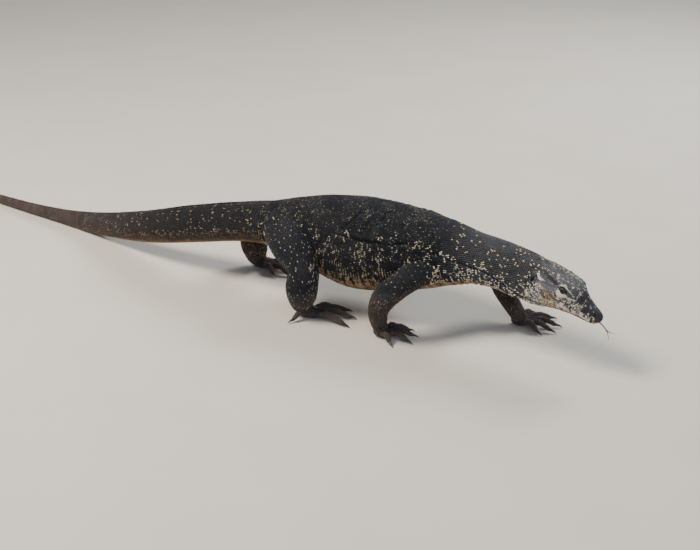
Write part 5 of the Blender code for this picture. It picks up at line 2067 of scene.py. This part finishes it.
class Monitor:
    """The whole animal: forms, skin, coat and what stands out of them."""

    def __init__(self) -> None:
        """Makes the forms and the carved skin."""
        self.head = HeadFrame()
        self.body = BodyForm(self.head)
        self.legs = [LegForm(leg) for leg in LEGS]
        self.skin = Skin(self.head, self.body, self.legs)
        LOG.info("skin stretched: %d points", len(self.skin.points))
        self.skin.carve()
        self.marks = Markings(self.body)
        self.coat = Coat(self.skin)

    def body_pitch(self) -> tuple[list[float], list[float]]:
        """Where the scales' pitch is set along the body, and to what."""
        places = [self.body.named[name] for name, _ in PITCH]
        sizes = [size for _, size in PITCH]
        ears, snout = self.body.named["ears"], self.body.named["snout"]
        for share, size in HEAD_PITCHES:
            places.append(ears + (snout - ears) * share)
            sizes.append(size)
        return places, sizes

    def plant(self) -> dict[str, Roots]:
        """Plants every scale and marks it.

        Returns:
            The scales of each coat piece by its name.
        """
        named, coat = self.body.named, self.coat
        pieces = self.plant_face()
        start, end = named["ears"] - 1.0 * CM, named["snout"]
        pieces["head"] = coat.plant(coat.rings(self.body, start, end, self.body_pitch(), ScaleKind.PLATE))
        for roots in pieces.values():
            roots.marks = self.marks.head(roots, self.head)
        pieces["brows"].marks[:, 0] *= 0.1
        neck = self.plant_length(named["neck_root"], named["ears"] - 1.1 * CM, ScaleKind.BEAD)
        neck.marks = self.marks.neck(neck)
        pieces["neck"] = neck
        belly = []
        lengths = (("hips", "vent", "loin"), ("trunk", "loin", "ribs"), ("shoulders", "ribs", "neck_root"))
        for name, start, end in lengths:
            part = self.plant_length(named[start], named[end], ScaleKind.BEAD)
            part.marks = self.marks.trunk(part)
            under = np.abs(part.turn) > 124
            pieces[name] = part.only(~under)
            belly.append(part.only(under))
        pieces["belly"] = joined(belly, ScaleKind.SHIELD)
        pieces["tail_crest"] = self.plant_crest()
        lengths = (("tail_end", "tail_point", "touch_down"), ("tail_base", "touch_down", "vent"))
        for name, start, end in lengths:
            pieces[name] = self.plant_length(named[start], named[end], ScaleKind.WHORL, 1.5)
        for name in ("tail_crest", "tail_end", "tail_base"):
            pieces[name].marks = self.marks.tail(pieces[name])
        for form in self.legs:
            pieces.update(self.plant_leg(form))
        fill = coat.fill(1.4 * MM, ScaleKind.GRANULE, 3)
        fill.along, fill.turn = self.body.where(fill.place)
        fill.marks = self.nearest_marks(list(pieces.values()), fill.place)
        pieces["folds"] = fill
        return pieces

    def plant_length(self, start: float, end: float, kind: ScaleKind, long: float = 1.0) -> Roots:
        """Plants rings of scales round a length of the body."""
        rings = self.coat.rings(self.body, start, end, self.body_pitch(), kind, long)
        roots = self.coat.plant(rings)
        roots.along = roots.along + start
        return roots

    def plant_face(self) -> dict[str, Roots]:
        """Plants the plates of lips and brows, and the granules round eyes, ears and nostrils.

        Returns:
            The scales by the name of their piece.
        """
        lips, brows, rims, lies = [], [], [], []
        for side in (1, -1):
            mouth = self.skin.mouth_line(side)
            known = walked(mouth)
            steps = np.arange(1.2 * MM, known[-1], 2.2 * MM)
            line = np.stack([np.interp(steps, known, mouth[:, k]) for k in range(3)], 1)
            for rise in (1.45, -1.45):
                lips.append(line + self.head.up * rise * MM)
            along = np.arange(3.2, 6.1, 0.22)
            over = np.interp(along, (3.2, 4.6, 6.1), (1.40, 1.28, 0.95))
            brows.append(np.array([self.head.place(a, o * side, 2.3) for a, o in zip(along, over)]))
            level = (self.head.forward, self.head.up)
            eye = self.head.place(EYE[0], (EYE[1] + 0.35) * side, EYE[2])
            ear, nostril = (self.skin.on_side(at[0], at[2], side) for at in (EAR, NOSTRIL))
            spots = (
                (eye, level, [(r, r) for r in (6.7, 7.9, 9.1, 10.3)], 1.35),
                (ear, self.head.ear_axes(), ((7.2, 3.5), (8.4, 4.7)), 1.5),
                (nostril, level, ((3.0, 2.4), (4.2, 3.6)), 1.4),
            )
            for centre, (long_way, short_way), radii, gap in spots:
                for long, short in radii:
                    count = int(math.pi * (long + short) / gap)
                    turn = np.linspace(0, math.tau, count, endpoint=False)[:, None]
                    way = long_way * long * np.cos(turn) + short_way * short * np.sin(turn)
                    rims.append(centre + way * MM)
                    lies.append(unit(way))
        plant = self.coat.loose
        back = -self.head.forward
        lips, brows, rims, lies = (np.concatenate(p) for p in (lips, brows, rims, lies))
        return {
            "lips": plant(lips, np.broadcast_to(back, lips.shape), 2.3 * MM, ScaleKind.SHIELD),
            "brows": plant(brows, np.broadcast_to(back, brows.shape), 2.9 * MM, ScaleKind.SHIELD, 1.8),
            "rims": plant(rims, lies, 1.45 * MM, ScaleKind.GRANULE),
        }

    def plant_crest(self) -> Roots:
        """Plants the low double crest along the top of the tail."""
        at = np.arange(self.body.named["whip"], self.body.named["tail_root"], 3.0 * MM)
        places, lies = [], []
        for side in (1, -1):
            places.append(self.body.surface(at, np.full(len(at), 0.045 * side), COAT_DEPTH))
            lies.append(-self.body.axes(at)[0])
        return self.coat.loose(np.concatenate(places), np.concatenate(lies), 3.0 * MM, ScaleKind.TOOTH)

    def plant_leg(self, form: LegForm) -> dict[str, Roots]:
        """Plants a leg's scales: its toes, its sole and back, then its tube.

        Args:
            form: The leg.

        Returns:
            Its two coat pieces by name.
        """
        name = form.leg.name
        toes = []
        for toe in form.leg.toes:
            tube = form.toe(toe)
            roots = self.coat.rings(tube, 0.6, 3.97, ([0, 4], [2.1, 1.7]), ScaleKind.KEELED)
            toes.append(self.coat.plant(roots, 1.7 * MM, 0.7))
        limb = self.coat.rings(form, 0.4, 4.75, ([0, 2, 4, 5], [2.7, 2.5, 2.1, 2.0]), ScaleKind.BEAD)
        limb = self.coat.plant(limb, 3.0 * MM)
        limb.marks = self.marks.leg(limb, form)
        foot = joined(toes, ScaleKind.KEELED)
        foot.marks = self.marks.foot(foot)
        return {name: limb, f"{name}_toes": foot}

    def nearest_marks(self, planted: list[Roots], points: Array, count: int = 1) -> Array:
        """The marks of the scales nearest to each point, averaged."""
        marks = np.concatenate([r.marks for r in planted])
        tree = grown(np.concatenate([r.place for r in planted]))
        return np.array([marks[[found[1] for found in tree.find_n(p, count)]].mean(0) for p in points])

    def thin_skin(self) -> None:
        """Brings the skin under the limit, finest on the head and the feet."""
        piece = self.skin.piece
        select_only(piece)
        bpy.context.tool_settings.mesh_select_mode = (True, False, False)
        for place, ratio in (("body", 0.30), ("foot", 0.55), ("head", 0.88)):
            points = points_of(piece)
            on_head = self.head.local(points)[:, 0] > FINE_HEAD
            on_foot = (points[:, 2] < FOOT_HEIGHT) & (points[:, 0] > FEET_START) & ~on_head
            wanted = {"body": ~on_head & ~on_foot, "foot": on_foot, "head": on_head}[place]
            piece.data.vertices.foreach_set("select", wanted)
            bpy.ops.object.mode_set(mode="EDIT")
            bpy.ops.mesh.decimate(ratio=ratio)
            bpy.ops.object.mode_set(mode="OBJECT")
        apply_modifier(piece, "TRIANGULATE")
        piece.data.shade_smooth()

    def dress(self) -> None:
        """Builds every piece."""
        pieces = self.plant()
        LOG.info("%d scales planted", sum(len(r) for r in pieces.values()))
        scales = HideFinish("keratin_scales").make()
        dresser = Dresser({sides: ScaleForm(sides) for sides in (4, 6)}, scales)
        for number, (name, roots) in enumerate(pieces.items()):
            dresser.coat(f"scales_{name}", roots, 40 + number)
        self.thin_skin()
        points = points_of(self.skin.piece)
        marks = self.nearest_marks(list(pieces.values()), points, 5)
        marks[inside_any(points, self.skin.drums)] = DRUM_MARKS
        # Painted shade in the hollows of the mouth line, nostril and ear rim.
        hollow = inside_any(points, self.skin.dark)
        marks[hollow] = HOLLOW_SHADE_MARKS
        store(self.skin.piece, "markings", marks)
        # The low crown darkens the skin between scales, partly its own darker tone, partly painted shade in the gaps;
        # darkest in the hollows.
        store(self.skin.piece, "crown", np.where(hollow, 0.1, 0.24 + 0.4 * ramp(marks[:, 0], 0.5, 0.85)))
        flesh = ["tail_tip", "tail_end", "tail_middle", "tail_base", "trunk", "neck", "head", "lower_jaw"]
        flesh += [f"{leg.name}_{node}" for leg in LEGS for node in leg.nodes]
        finish_piece(self.skin.piece, HideFinish("skin_between_scales", roughness=0.6).make(), "hide", *flesh)
        eye, wet = Eye(), EyeFinish().make()
        for side in (1, -1):
            eye.ball(self.head, side, wet)
            eye.lids(self.head, side, scales)
        claw, horn = ClawForm(), HornFinish().make()
        for form in self.legs:
            for number, toe in enumerate(form.leg.toes, 1):
                claw.place(f"{form.leg.name}_claw_{number}", form.toe(toe), horn)
        Tongue().make(self.head, TongueFinish().make())


def joined(parts: list[Roots], kind: ScaleKind) -> Roots:
    """Several lots of scales as one, of one kind."""
    names = (*Roots.ARRAYS, "marks")
    return Roots(**{name: np.concatenate([getattr(p, name) for p in parts]) for name in names}, kind=kind)


def main() -> None:
    """Builds the animal and the studio, and writes the two boxes."""
    logging.basicConfig(level=logging.INFO, format="%(message)s")
    bpy.ops.object.select_all(action="DESELECT")
    Monitor().dress()
    Studio().build()
    bpy.ops.object.select_all(action="DESELECT")
    boxes = {"cad": [list(c) for c in CAD_BOX], "visual": [list(c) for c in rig.bounds()]}
    with open(SIZE_FILE, "w") as file:
        json.dump(boxes, file)
    LOG.info("boxes: %s", boxes)


if __name__ == "__main__":
    main()
